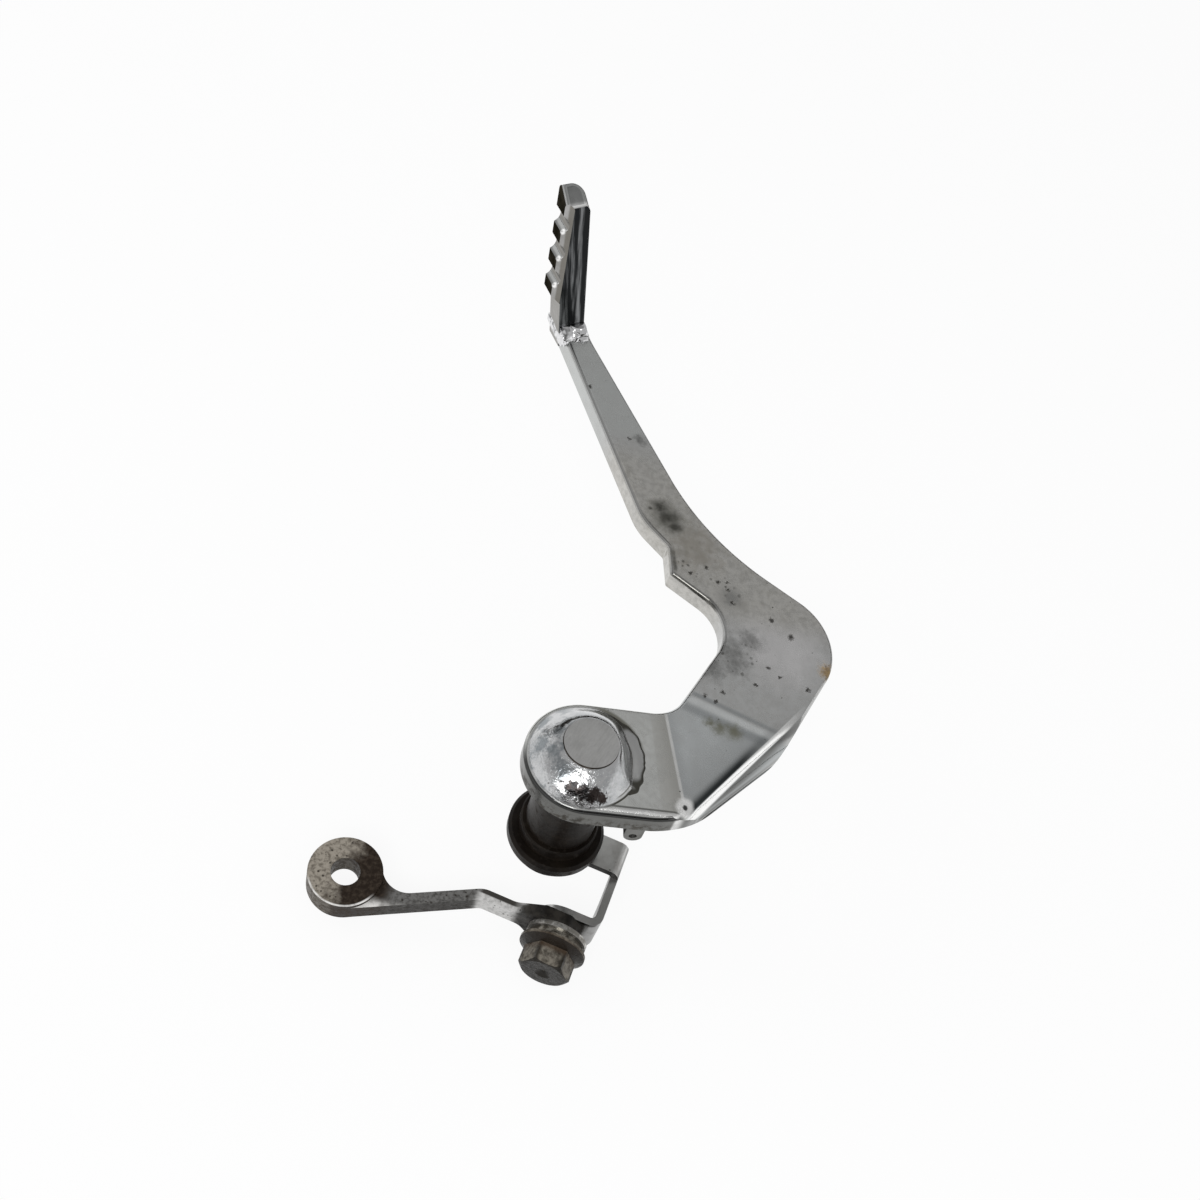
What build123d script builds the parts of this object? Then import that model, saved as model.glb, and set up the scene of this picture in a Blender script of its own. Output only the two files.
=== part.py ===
from build123d import *
import os
from math import cos, radians, sin, sqrt

os.makedirs("parts", exist_ok=True)

# Rear brake pedal of a motorbike. Sizes in mm.
# Origin on the pivot axis at the boss plate's outer face. +Z runs along the pivot
# away from the bike, +Y towards the foot pad, +X towards the outside of the crook.

# Plate arm
ARM_T = 7.5
BOSS_R = 18.0
BEND_ANGLE = 6.0
BEND_R = 45.0
RIM_TOP_R = 1.5
RIM_BOTTOM_CUT = 0.6
ROLL_W = 6.0
ROLL_R = 6.6
ROLL_ENTRY = 4.0
NEAR_TURN_X = 30.0
NEAR_END_X = 61.5
NEAR_END_Y = 11.3
BEND_APEX_X = 21.1
BEND_APEX_Y = 28.2
BEND_1_WAY = -83.6
BEND_2_WAY = -13.8
TIP_WAY = 111.7
TIP_X = -1.9
TIP_Y = 161.0
TIP_W = 9.85

# Pivot
SHAFT_R = 8.0
SHAFT_END = 7.5
SHAFT_TAIL = 1.6
SHAFT_CHAMFER = 0.5
RUNNING_GAP = 0.03
END_FLOAT = 0.2
WELD_GAP = 0.05
DOME_R = 16.8
DOME_STEPS = 5
SHAFT_PROUD = 0.3
SLEEVE_L = 40.0
SLEEVE_R = 10.75
FLANGE_R = 15.2
FLANGE_T = 4.6
COLLAR_R = 12.2
COLLAR_T = 5.2
WASHER_R = 13.0
WASHER_T = 1.2

# Foot pad
PAD_LEAN = 9.5
PAD_SETBACK = 4.0
PAD_INSET = 2.0
PAD_END_SPACE = 0.7
PAD_NEAR_L = 52.5
PAD_RISE = 6.0
PAD_DEPTH = 8.8
PAD_FOOT_W = 9.4
CREST_FOOT_W = 13.9
CREST_TAPER = 0.114
TOOTH_PITCH = 10.5
TOOTH_COUNT = 4
CREST_L = 4.4
GROOVE_DEPTH = 1.9
FIRST_CREST = 53.3
PAD_ROOT = 4.0
PAD_EDGE_R = 1.9
PAD_BACK_R = 4.4
PAD_BEAD = 2.4
NEAR_BEAD = 4.6
TOOTH_CUT_DEEP = 2.2
TOOTH_CUT_LEVEL = 2.6

# Lever group, laid out in a frame that is turned about the pivot
LEVER_TURN = -19.1
SHEET_T = 2.5
HUB_R = 13.0
BASE_NEAR = -4.1
BASE_FAR = 7.0
WEB_X = 24.2
FOLD_R = 1.5
BASE_FOLD_R = 0.8
BOLT_X = 13.2
BOLT_DROP = 11.4
FLAP_DROP = 11.0
LUG_NEAR = -25.6
BOLT_R = 5.0
BOLT_GAP = 0.35
THREAD_GAP = 0.05
HEX_AF = 14.4
HEX_H = 6.4
DIMPLE_R = 2.6
HEAD_FLANGE_R = 10.5
HEAD_FLANGE_T = 2.6
HEAD_RIM_T = 1.0
BOLT_PROUD = 0.4
PLAIN_T = 1.6
PLAIN_R = 9.6
SPRING_T = 2.4
SPRING_R = 8.6
SPRING_SLIT = 1.4
STRAP_T = 3.6
STRAP_H = 6.4
STRAP_ANGLE = 28.95
STRAP_BEND_R = 4.0
LUG_H = 19.0
LUG_LEFT = 1.8
LUG_GAP = 0.4
LUG_CUT = 5.0
EYE_X = -53.7
EYE_Y = -35.5
EYE_R = 11.4
NECK_R = 8.0
EYE_T = 7.8
EYE_RISE = 0.6
EYE_HOLE_R = 4.5
BEAD = 2.6

# Spring tab
TAB_X = 16.4
TAB_Y = -17.2
TAB_W = 5.4
TAB_T = 2.4
TAB_DROP = 4.8
TAB_HOLE_R = 1.2

# Heights that follow from the stack along the pivot
PLATE_UNDER = -ARM_T
SLEEVE_TOP = PLATE_UNDER - END_FLOAT
SLEEVE_BOTTOM = SLEEVE_TOP - SLEEVE_L
THRUST_TOP = SLEEVE_BOTTOM - END_FLOAT
BASE_TOP = THRUST_TOP - WASHER_T
BASE_UNDER = BASE_TOP - SHEET_T
SHAFT_BOTTOM = BASE_UNDER - SHAFT_TAIL
BOLT_Z = BASE_TOP - BOLT_DROP

# Stack along the lever bolt, from the head to the tapped ear
EAR_NEAR = LUG_NEAR + STRAP_T
EAR_BACK = EAR_NEAR + SHEET_T
PLAIN_NEAR = LUG_NEAR - PLAIN_T
SPRING_NEAR = PLAIN_NEAR - SPRING_T
HEX_NEAR = SPRING_NEAR - HEAD_FLANGE_T - HEX_H
LUG_MID = LUG_NEAR + STRAP_T / 2
LUG_RIGHT = WEB_X - SHEET_T - FOLD_R - LUG_GAP


UP = Vector(0, 0, 1)


def level(angle):
    """Level direction at an angle from +X."""
    return Vector(cos(radians(angle)), sin(radians(angle)), 0)


def revolved(points, at=(0, 0, 0)):
    """Body of revolution about Z from (radius, height) corners."""
    profile = make_face(Polyline(*[(r, 0, z) for r, z in points], close=True))
    return Pos(*at) * revolve(profile, Axis.Z)


def ring(outer, inner, bottom, top):
    return revolved([(inner, bottom), (outer, bottom), (outer, top), (inner, top)])


def along_bolt(solid, y):
    """Stands a solid built along +Z on the lever bolt's axis, its foot at y."""
    return Pos(BOLT_X, y, BOLT_Z) * Rot(-90, 0, 0) * solid


def hexagon(height):
    """Hexagon prism with turned corner chamfers at its foot."""
    corner = HEX_AF / sqrt(3)
    flat = HEX_AF / 2
    prism = extrude(RegularPolygon(flat, 6, major_radius=False), height)
    reach = corner + 0.1
    turned = revolved([(0, 0), (flat - 0.3, 0), (reach, (reach - flat) * 0.7), (reach, height), (0, height)])
    return prism & turned


# Pedal arm: plan outline cut in three by the bends, each part on its own plane
bend_apex = Vector(BEND_APEX_X, BEND_APEX_Y, 0)
bend_1 = level(BEND_1_WAY)
bend_2 = level(BEND_2_WAY)
tip_dir = level(TIP_WAY)
tread_dir = level(TIP_WAY + 90)
tip_outer = Vector(TIP_X, TIP_Y, 0)
tip_far_outer = tip_outer + tip_dir * (PAD_SETBACK + PAD_DEPTH + PAD_END_SPACE)
tip_far_inner = tip_far_outer + tread_dir * TIP_W
corners = [
    (tip_far_outer.X, tip_far_outer.Y, 1.5),
    (tip_outer.X, tip_outer.Y, 40),
    (39.0, 86.5, 85),
    (89.3, 58.0, 20),
    (NEAR_END_X, NEAR_END_Y, 40),
    (NEAR_TURN_X, -BOSS_R, 30),
    (0.0, -BOSS_R, 0),
    (0.0, BOSS_R, 0),
    (26.2, BOSS_R, 12),
    (49.3, 55.4, 14),
    (26.5, 69.3, 1.0),
    (25.7, 79.7, 1.5),
    (16.5, 88.5, 20),
    (tip_far_inner.X, tip_far_inner.Y, 1.5),
]
outline = FilletPolyline(
    *[(x, y) for x, y, r in corners], radius=[r for x, y, r in corners], close=True)
plan = make_face(outline) + Circle(BOSS_R)

FAR = 320.0
q = (BEND_APEX_X, BEND_APEX_Y)
end_1 = ((bend_apex + bend_1 * FAR).X, (bend_apex + bend_1 * FAR).Y)
end_2 = ((bend_apex + bend_2 * FAR).X, (bend_apex + bend_2 * FAR).Y)
left = (-FAR, BEND_APEX_Y)
zone_boss = make_face(Polyline(q, end_1, (-FAR, end_1[1]), left, close=True))
zone_mid = make_face(Polyline(q, end_1, end_2, close=True))
zone_bar = make_face(Polyline(q, end_2, (end_2[0], FAR), (-FAR, FAR), left, close=True))

normal_1 = UP.rotate(Axis((0, 0, 0), bend_1), -BEND_ANGLE)
crease_2 = Vector(bend_2.X, bend_2.Y, -(normal_1.X * bend_2.X + normal_1.Y * bend_2.Y) / normal_1.Z)
crease_2 = crease_2.normalized()
normal_2 = normal_1.rotate(Axis((0, 0, 0), crease_2), BEND_ANGLE)


def arm_zone(zone, normal):
    """One flat of the arm: the outline within a zone, between two sloping planes."""
    tall = extrude(Pos(0, 0, -FAR / 2) * (plan & zone), FAR)
    tall = split(tall, Plane(origin=bend_apex, z_dir=normal), keep=Keep.BOTTOM)
    return split(tall, Plane(origin=bend_apex - UP * ARM_T, z_dir=normal), keep=Keep.TOP)


def slope_z(point, normal):
    """Height of a sloping top face over a point of the plan."""
    away = point - bend_apex
    return -(normal.X * away.X + normal.Y * away.Y) / normal.Z


arm = arm_zone(zone_boss, UP) + arm_zone(zone_mid, normal_1) + arm_zone(zone_bar, normal_2)


def runs_along(edge, way):
    return edge.geom_type == GeomType.LINE and abs(edge.tangent_at(0.5).dot(way)) > 0.99999


def crease_edges(solid, way):
    """Straight edges along a bend, the lowest first."""
    return ShapeList([e for e in solid.edges() if runs_along(e, way)]).sort_by(Axis.Z)


for way in (bend_1, crease_2):
    arm = fillet(crease_edges(arm, way)[-1], BEND_R)
    arm = fillet(crease_edges(arm, way)[0], BEND_R)


def rim_edges(solid, side):
    """Edges where the top or bottom skin meets the side wall."""
    skins = [f for f in solid.faces() if f.normal_at().Z * side > 0.9]
    found = [e for f in skins for e in f.edges()]
    return [e for e in found if sum(1 for o in found if o.is_same(e)) == 1]


arm = fillet(rim_edges(arm, 1), RIM_TOP_R)
arm = chamfer(rim_edges(arm, -1), RIM_BOTTOM_CUT)

# Near edge rolled over between the two bends, running out on the outside corner
near_turn = Vector(NEAR_TURN_X, -BOSS_R, 0)
near_end = Vector(NEAR_END_X, NEAR_END_Y, 0)
near_way = (near_end - near_turn).normalized()
near_out = near_way.rotate(Axis.Z, -90)
roll_line = near_turn - near_out * ROLL_W
bend_2_side = level(BEND_2_WAY + 90)
to_bend = (bend_apex - roll_line).dot(bend_2_side) / near_way.dot(bend_2_side)
roll_knee = roll_line + near_way * to_bend
bend_2_plane = Plane(origin=bend_apex, z_dir=bend_2_side)


def roll_cut(normal, keep):
    """What the roll takes off the edge of one flat."""
    start = roll_knee + UP * slope_z(roll_knee, normal)
    way = (near_way - UP * (near_way.dot(normal) / normal.Z)).normalized()
    face_plane = Plane(origin=start, x_dir=way.cross(normal), z_dir=way)
    entry = radians(ROLL_ENTRY)
    mid_x = -ROLL_R * sin(entry)
    mid_y = ROLL_R * cos(entry)
    halfway = radians(45)
    arc = ThreePointArc(
        (0, 0), (mid_x + ROLL_R * sin(halfway), mid_y - ROLL_R * cos(halfway)), (mid_x + ROLL_R, mid_y))
    rest = Polyline(
        (mid_x + ROLL_R, mid_y), (ROLL_R + ARM_T, mid_y), (ROLL_R + ARM_T, -ARM_T), (0, -ARM_T), (0, 0))
    tool = extrude(face_plane * make_face(arc + rest), BOSS_R * 4, both=True)
    return split(tool, bend_2_plane, keep=keep)


arm = arm - roll_cut(normal_1, Keep.BOTTOM) - roll_cut(normal_2, Keep.TOP)
arm = arm - Pos(0, 0, -ARM_T - 1) * extrude(Circle(SHAFT_R + WELD_GAP), ARM_T + 2)
pedal_arm = arm

# Pivot shaft with its ground outer end, and the domed weld round it
shaft = revolved([
    (0, SHAFT_BOTTOM), (SHAFT_R - SHAFT_CHAMFER, SHAFT_BOTTOM),
    (SHAFT_R, SHAFT_BOTTOM + SHAFT_CHAMFER), (SHAFT_R, SHAFT_END), (0, SHAFT_END),
])
pivot_shaft = shaft
dome_rise = SHAFT_END - SHAFT_PROUD
dome_run = DOME_R - SHAFT_R
dome_turns = [radians(90 * i / DOME_STEPS) for i in range(DOME_STEPS + 1)]
pivot_weld = revolved(
    [(SHAFT_R, 0)] + [(SHAFT_R + dome_run * cos(a), dome_rise * sin(a)) for a in dome_turns])

# Pivot sleeve that steps out to a shoulder and a flange
bore_r = SHAFT_R + RUNNING_GAP
flange_top = SLEEVE_BOTTOM + FLANGE_T
collar_high = flange_top + COLLAR_T
sleeve = revolved([
    (bore_r, SLEEVE_BOTTOM), (FLANGE_R - 0.6, SLEEVE_BOTTOM), (FLANGE_R, SLEEVE_BOTTOM + 0.6),
    (FLANGE_R, flange_top - 1.0), (FLANGE_R - 1.0, flange_top), (COLLAR_R, flange_top),
    (COLLAR_R, collar_high - 0.5),
    (COLLAR_R - 0.5, collar_high), (SLEEVE_R, collar_high),
    (SLEEVE_R, SLEEVE_TOP - 0.6), (SLEEVE_R - 0.6, SLEEVE_TOP), (bore_r, SLEEVE_TOP),
])
pivot_sleeve = sleeve
thrust_washer = ring(WASHER_R, SHAFT_R + 0.3, BASE_TOP, THRUST_TOP)

# Foot pad: toothed bar that stands across the tip and tapers to its free end
pad_foot = tip_outer + tip_dir * PAD_SETBACK + tread_dir * PAD_INSET
pad_foot = pad_foot + UP * slope_z(pad_foot, normal_2)
pad_way = Vector(-sin(radians(PAD_LEAN)), 0, cos(radians(PAD_LEAN)))
pad_deep = (tip_dir - pad_way * tip_dir.dot(pad_way)).normalized()
pad_tread = pad_way.cross(pad_deep)
pad_plane = Plane(origin=pad_foot, x_dir=pad_way, z_dir=pad_deep)
pad_far_l = PAD_NEAR_L + PAD_RISE
last_crest = FIRST_CREST - TOOTH_PITCH * (TOOTH_COUNT - 1) - CREST_L


def crest_w(along):
    return CREST_FOOT_W - CREST_TAPER * along


tread = make_face(Polyline(
    (-PAD_ROOT, 0), (pad_far_l, 0), (pad_far_l, -crest_w(pad_far_l)), (last_crest, -crest_w(last_crest)),
    (last_crest - 2.6, -PAD_FOOT_W), (-PAD_ROOT, -PAD_FOOT_W), close=True))
groove_w = TOOTH_PITCH - CREST_L
groove_r = ((groove_w / 2) ** 2 + GROOVE_DEPTH ** 2) / (2 * GROOVE_DEPTH)
for i in range(TOOTH_COUNT - 1):
    groove_x = FIRST_CREST - CREST_L - groove_w / 2 - TOOTH_PITCH * i
    tread -= Pos(groove_x, -crest_w(groove_x) + GROOVE_DEPTH - groove_r) * Circle(groove_r)
pad = extrude(pad_plane * tread, PAD_DEPTH)
back_edge = [e for e in pad.edges() if runs_along(e, pad_way)]
back_edge = ShapeList(back_edge).sort_by(Axis(pad_foot, pad_deep - pad_tread))[-1]
pad = fillet(back_edge, PAD_BACK_R)
cap_out = (pad_deep * PAD_RISE - pad_way * PAD_DEPTH).normalized() * -1
cap_plane = Plane(origin=pad_foot + pad_way * PAD_NEAR_L, z_dir=cap_out)
pad = split(pad, cap_plane, keep=Keep.BOTTOM)
cap = pad.faces().sort_by(Axis(pad_foot, pad_way))[-1]
pad = fillet(cap.edges(), PAD_EDGE_R)
crest_run = (pad_way - pad_tread * CREST_TAPER).normalized()
cut_from = pad_foot + pad_tread * (CREST_FOOT_W - TOOTH_CUT_LEVEL)
cut_to = pad_foot + pad_tread * CREST_FOOT_W + pad_deep * TOOTH_CUT_DEEP
tooth_plane = Plane(origin=cut_from, z_dir=crest_run.cross(cut_to - cut_from))
pad = split(pad, tooth_plane, keep=Keep.BOTTOM)
foot_pad = pad - pedal_arm

# Weld bead round the pad's foot
bead_mid = pad_foot + pad_tread * (PAD_FOOT_W / 2) + pad_deep * (PAD_DEPTH / 2)
bead_base = Plane(origin=bead_mid - normal_2 * PAD_BEAD, x_dir=pad_tread, z_dir=normal_2)
bead_shape = RectangleRounded(PAD_FOOT_W + 2 * PAD_BEAD, PAD_DEPTH + 2 * PAD_BEAD, PAD_BEAD)
bead = extrude(bead_base * bead_shape, 2 * PAD_BEAD)
bead = chamfer(bead.faces().sort_by(Axis(pad_foot, normal_2))[-1].edges(), PAD_BEAD * 0.8)
near_plane = Plane(origin=pad_foot - pad_tread * 0.3, x_dir=-1 * pad_deep, z_dir=pad_tread)
near_up = 1 if near_plane.y_dir.Z > 0 else -1
near_bead = make_face(Polyline(
    (-1, -1), (NEAR_BEAD, -1), (NEAR_BEAD, 0), (NEAR_BEAD * 0.8, near_up * NEAR_BEAD * 0.45),
    (NEAR_BEAD * 0.45, near_up * NEAR_BEAD * 0.8), (0, near_up * NEAR_BEAD), (-1, near_up * NEAR_BEAD),
    close=True))
near_bead = extrude(near_plane * near_bead, PAD_FOOT_W + 0.6)
pad_weld = bead + near_bead - pedal_arm - foot_pad

# Folded bracket in the lever frame: base on the shaft, web down the side, ear for the bolt
wall_top = BASE_TOP - BASE_FOLD_R - SHEET_T
ear_r = wall_top - BOLT_Z
ear_low = BOLT_Z - ear_r
flap_low = BASE_TOP - FLAP_DROP
flap = make_face(FilletPolyline(
    (0, BASE_NEAR, BASE_TOP), (WEB_X, BASE_NEAR, BASE_TOP), (WEB_X, BASE_NEAR, flap_low),
    (WEB_X - SHEET_T, BASE_NEAR, flap_low), (WEB_X - SHEET_T, BASE_NEAR, BASE_UNDER),
    (0, BASE_NEAR, BASE_UNDER), radius=[0, BASE_FOLD_R + SHEET_T, 0, 0, BASE_FOLD_R, 0], close=True))
flap = extrude(flap, BASE_FAR - BASE_NEAR, dir=(0, 1, 0))
wall_end = BOLT_X - ear_r
wall_plan = make_face(FilletPolyline(
    (WEB_X, BASE_FAR), (WEB_X, EAR_NEAR), (wall_end, EAR_NEAR), (wall_end, EAR_BACK),
    (WEB_X - SHEET_T, EAR_BACK), (WEB_X - SHEET_T, BASE_FAR),
    radius=[0, FOLD_R + SHEET_T, 0, 0, FOLD_R, 0], close=True))
wall = extrude(Pos(0, 0, ear_low) * wall_plan, wall_top - ear_low)
web_profile = make_face(FilletPolyline(
    (0, BASE_FAR, wall_top), (0, EAR_NEAR - 10, wall_top), (0, EAR_NEAR - 10, ear_low),
    (0, EAR_BACK + 4, ear_low), (0, BASE_NEAR - 4, flap_low), (0, BASE_FAR, flap_low),
    radius=[0, 0, 0, 4, 4, 0], close=True))
wall = wall & extrude(web_profile, FAR, both=True)
ear_shape = Circle(ear_r) + Pos(FAR / 2, 0) * Rectangle(FAR, FAR)
wall = wall & along_bolt(extrude(ear_shape, FAR, both=True), EAR_NEAR)
hub = extrude(Pos(0, 0, BASE_UNDER) * Circle(HUB_R), SHEET_T)
bracket = hub + flap + wall
bracket -= Pos(0, 0, BASE_UNDER - 1) * extrude(Circle(SHAFT_R + WELD_GAP), SHEET_T + 2)
bracket -= along_bolt(extrude(Circle(BOLT_R + THREAD_GAP), SHEET_T + 2), EAR_NEAR - 1)
lever_turn = Rot(0, 0, LEVER_TURN)
lever_bracket = lever_turn * bracket

# Weld bead between the shaft's inner end and the bracket
bracket_weld = revolved([
    (SHAFT_R, BASE_UNDER), (SHAFT_R + BEAD, BASE_UNDER),
    (SHAFT_R, BASE_UNDER - SHAFT_TAIL + SHAFT_CHAMFER)])

# Strap lever: flat strap on edge, bent once, with a tall lug and a round eye
turn = radians(STRAP_ANGLE)
strap_way = Vector(cos(turn), sin(turn), 0)
strap_side = Vector(sin(turn), -cos(turn), 0)
eye_mid = Vector(EYE_X, EYE_Y, 0)
strap_start = eye_mid + strap_side * (EYE_R - STRAP_T / 2)
strap_run = (LUG_MID - strap_start.Y) / strap_way.Y
strap_bend = strap_start + strap_way * strap_run
strap_end = Vector(LUG_RIGHT, LUG_MID, 0)
half = STRAP_T / 2
half_turn = turn / 2
mitre = Vector(sin(half_turn), -cos(half_turn), 0) * (half / cos(half_turn))
strap_plan = make_face(FilletPolyline(
    strap_start + strap_side * half, strap_bend + mitre, strap_end - Vector(0, half, 0),
    strap_end + Vector(0, half, 0), strap_bend - mitre, strap_start - strap_side * half,
    radius=[0, STRAP_BEND_R, 0, 0, STRAP_BEND_R + STRAP_T, 0], close=True))
strap_plan = strap_plan + Pos(EYE_X, EYE_Y) * Circle(EYE_R)
neck_out = sqrt(EYE_R ** 2 - (EYE_R - STRAP_T) ** 2)
neck_at = eye_mid + strap_side * (EYE_R - STRAP_T) + strap_way * neck_out
neck = strap_plan.vertices().sort_by_distance(neck_at)[0]
strap_plan = fillet(neck, NECK_R)
lug_low = BOLT_Z - LUG_H / 2
lug_top = BOLT_Z + LUG_H / 2
strap = extrude(Pos(0, 0, lug_low) * strap_plan, LUG_H)
strap_low = BOLT_Z - STRAP_H / 2
strap_top = BOLT_Z + STRAP_H / 2
side_view = make_face(FilletPolyline(
    (EYE_X - 20, 0, strap_low), (LUG_LEFT - 1, 0, strap_low), (LUG_LEFT + LUG_CUT, 0, lug_low),
    (LUG_RIGHT - LUG_CUT, 0, lug_low), (LUG_RIGHT, 0, lug_low + LUG_CUT),
    (LUG_RIGHT, 0, lug_top - LUG_CUT), (LUG_RIGHT - LUG_CUT, 0, lug_top),
    (LUG_LEFT + LUG_CUT, 0, lug_top), (LUG_LEFT - 4, 0, strap_top), (EYE_X - 20, 0, strap_top),
    radius=[0, 4, 1.5, 1.5, 1.5, 1.5, 1.5, 1.5, 4, 0], close=True))
strap = strap & extrude(side_view, FAR, both=True)
eye = Pos(EYE_X, EYE_Y, BOLT_Z + EYE_RISE - EYE_T / 2) * extrude(Circle(EYE_R), EYE_T)
lever = strap + eye
lever -= Pos(EYE_X, EYE_Y, BOLT_Z - EYE_T) * extrude(Circle(EYE_HOLE_R), 2 * EYE_T)
lever -= along_bolt(extrude(Circle(BOLT_R + BOLT_GAP), STRAP_T + 2), LUG_NEAR - 1)
eye_lever = lever_turn * lever

# Flanged bolt of the lever with its washers
head = hexagon(HEX_H) - revolved([(0, 0), (DIMPLE_R, 0), (0, DIMPLE_R / 2)])
shank_l = EAR_BACK + BOLT_PROUD - SPRING_NEAR
shank = revolved([
    (0, 0), (HEX_AF / 2, 0), (HEAD_FLANGE_R, HEAD_FLANGE_T - HEAD_RIM_T), (HEAD_FLANGE_R, HEAD_FLANGE_T),
    (BOLT_R, HEAD_FLANGE_T), (BOLT_R, HEAD_FLANGE_T + shank_l - 1.0),
    (BOLT_R - 1.0, HEAD_FLANGE_T + shank_l), (0, HEAD_FLANGE_T + shank_l)])
lever_bolt = lever_turn * (along_bolt(head, HEX_NEAR) + along_bolt(shank, HEX_NEAR + HEX_H))
plain = ring(PLAIN_R, BOLT_R + BOLT_GAP, 0, PLAIN_T)
plain_washer = lever_turn * along_bolt(plain, PLAIN_NEAR)
spring = ring(SPRING_R, BOLT_R + BOLT_GAP, 0, SPRING_T)
slit = Pos(0, SPRING_R, SPRING_T / 2) * Rot(0, 25, 0) * Box(SPRING_SLIT, 2 * SPRING_R, 3 * SPRING_T)
spring_washer = lever_turn * along_bolt(spring - slit, SPRING_NEAR)

# Spring tab under the rim of the plate
tab_shape = Circle(TAB_W / 2) + Pos(0, TAB_DROP / 2) * Rectangle(TAB_W, TAB_DROP)
tab_shape -= Circle(TAB_HOLE_R)
tab_plane = Plane(origin=(TAB_X, TAB_Y, PLATE_UNDER - TAB_DROP), x_dir=(1, 0, 0), z_dir=(0, -1, 0))
spring_tab = extrude(tab_plane * tab_shape, -TAB_T)

nodes = {
    "pedal_arm": pedal_arm,
    "foot_pad": foot_pad,
    "pad_weld": pad_weld,
    "pivot_shaft": pivot_shaft,
    "pivot_weld": pivot_weld,
    "pivot_sleeve": pivot_sleeve,
    "thrust_washer": thrust_washer,
    "lever_bracket": lever_bracket,
    "bracket_weld": bracket_weld,
    "eye_lever": eye_lever,
    "lever_bolt": lever_bolt,
    "plain_washer": plain_washer,
    "spring_washer": spring_washer,
    "spring_tab": spring_tab,
}
for name, shape in nodes.items():
    export_step(shape, f"parts/{name}.step")
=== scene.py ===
import math
from types import SimpleNamespace

import bmesh
import bpy
from mathutils import Matrix, Vector, noise


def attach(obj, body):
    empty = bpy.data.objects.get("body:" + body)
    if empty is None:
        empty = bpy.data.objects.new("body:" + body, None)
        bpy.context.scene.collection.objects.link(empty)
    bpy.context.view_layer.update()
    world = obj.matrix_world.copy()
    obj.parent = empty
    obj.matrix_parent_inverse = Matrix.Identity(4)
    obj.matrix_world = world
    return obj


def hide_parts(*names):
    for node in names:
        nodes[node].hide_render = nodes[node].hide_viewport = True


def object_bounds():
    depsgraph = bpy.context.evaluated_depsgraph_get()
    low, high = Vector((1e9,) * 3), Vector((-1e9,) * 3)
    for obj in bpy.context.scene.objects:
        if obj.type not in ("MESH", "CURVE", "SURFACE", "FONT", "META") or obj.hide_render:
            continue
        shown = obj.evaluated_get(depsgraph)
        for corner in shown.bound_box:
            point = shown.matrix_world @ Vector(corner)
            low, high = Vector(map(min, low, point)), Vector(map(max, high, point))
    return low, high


# Rear brake pedal of a motorbike: looks for the solids, in the pedal's own frame, in metres.
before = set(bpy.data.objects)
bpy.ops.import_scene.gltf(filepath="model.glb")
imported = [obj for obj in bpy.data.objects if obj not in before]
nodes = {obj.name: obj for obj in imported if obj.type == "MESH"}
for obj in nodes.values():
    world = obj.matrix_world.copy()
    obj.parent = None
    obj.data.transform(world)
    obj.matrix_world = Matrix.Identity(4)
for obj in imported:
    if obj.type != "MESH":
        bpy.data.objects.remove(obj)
cad_box = [list(corner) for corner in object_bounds()]

MM = 0.001
MM_PER_M = 1000.0

# Pivot dome: the plated weld round the shaft's end
SHAFT_R = 8.0 * MM
DOME_TOE = 16.5 * MM
DOME_H = 7.2 * MM
DOME_TURNS = 144
DOME_RINGS = 26
RAGGED_MM = 0.12
COARSE_LUMP_MM = 0.30
FINE_LUMP_MM = 0.16
LOW_LEFT_SPREAD_MM = 0.7
LOW_LEFT_SINK_MM = 0.22
# Flat run of weld on the bar's side, and the hook at its near end
RUN_RINGS = 7
RUN_L = 3.9 * MM
RUN_H = 0.9 * MM
RUN_SETBACK_MM = 3.0
RUN_LIP = 0.08 * MM
RUN_DRIP = 0.3
RUN_TOP_MM = 1.15
HOOK_H_SHARE = 0.6
HOOK_L_SHARE = 0.3
# Arcs round the dome: middle and half width in degrees from the right
ROUGH_ARC = (235.0, 75.0)
CONE_ARC = (232.0, 95.0)
LOW_LEFT_ARC = (228.0, 80.0)
RUN_ARC = (8.0, 38.0)
HOOK_ARC = (-33.0, 6.0)

# Weld beads: how far the pad's bead is pressed flat on the tread's side, and how often both are smoothed
BEAD_FLAT = 3.4 * MM
BEAD_PRESS = 0.7
BEAD_SMOOTHING = 4

# Directions of the foot pad: along it, across its treads and into its depth
PAD_WAY = Vector((-0.165, 0.0, 0.986))
PAD_TREAD = Vector((-0.918, -0.365, -0.154))
PAD_DEEP = Vector((-0.360, 0.931, -0.060))
PAD_TAPER = 0.114
# Depth below the pad's crests, in metres, at which the crests' painted dark reflection fades and grooves
# darken
CREST_FADE = (0.75 * MM, 0.35 * MM)
GROOVE_FADE = (0.9 * MM, 1.5 * MM)
# Drawn streaks on the pad's near face, per metre across and along it
STREAKS_ACROSS = 560.0
STREAKS_ALONG = 30.0
# Painted highlight on the near edge of the pad's end, in mm across its depth
CAP_EDGE_MM = (-155.6, -154.2)
# Painted highlights on the corners of the pad's teeth: radius, raggedness, grain and softness, and places in
# mm
PAD_GLEAM = (1.3, 0.4, 1.0, 0.6)
PAD_GLEAMS = [(-20.9, 163.0, 55.2), (-20.2, 162.7, 44.7), (-19.5, 162.0, 34.1)]

# Directions of the lever group: along the lug, back through it, and the way the bolt's head faces
LEVER_WAY = (0.945, -0.327, 0.0)
LEVER_BACK = (0.327, 0.945, 0.0)
BOLT_WAY = (-0.327, -0.945, 0.0)
BOLT_X_MM = 13.2
BOLT_Z_MM = -60.5
# Painted highlight round the eye's rim on its near side: the eye's centre and radii in mm, and the line and
# distances in mm where it fades
EYE_AT = (-62.4, -16.0, -59.9)
EYE_RIM_MM = (11.3, 11.7)
EYE_NEAR_LINE = ((0.2, 0.98, 0.0), 0.0)
EYE_NEAR_MM = (-32.0, -36.0)
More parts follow.
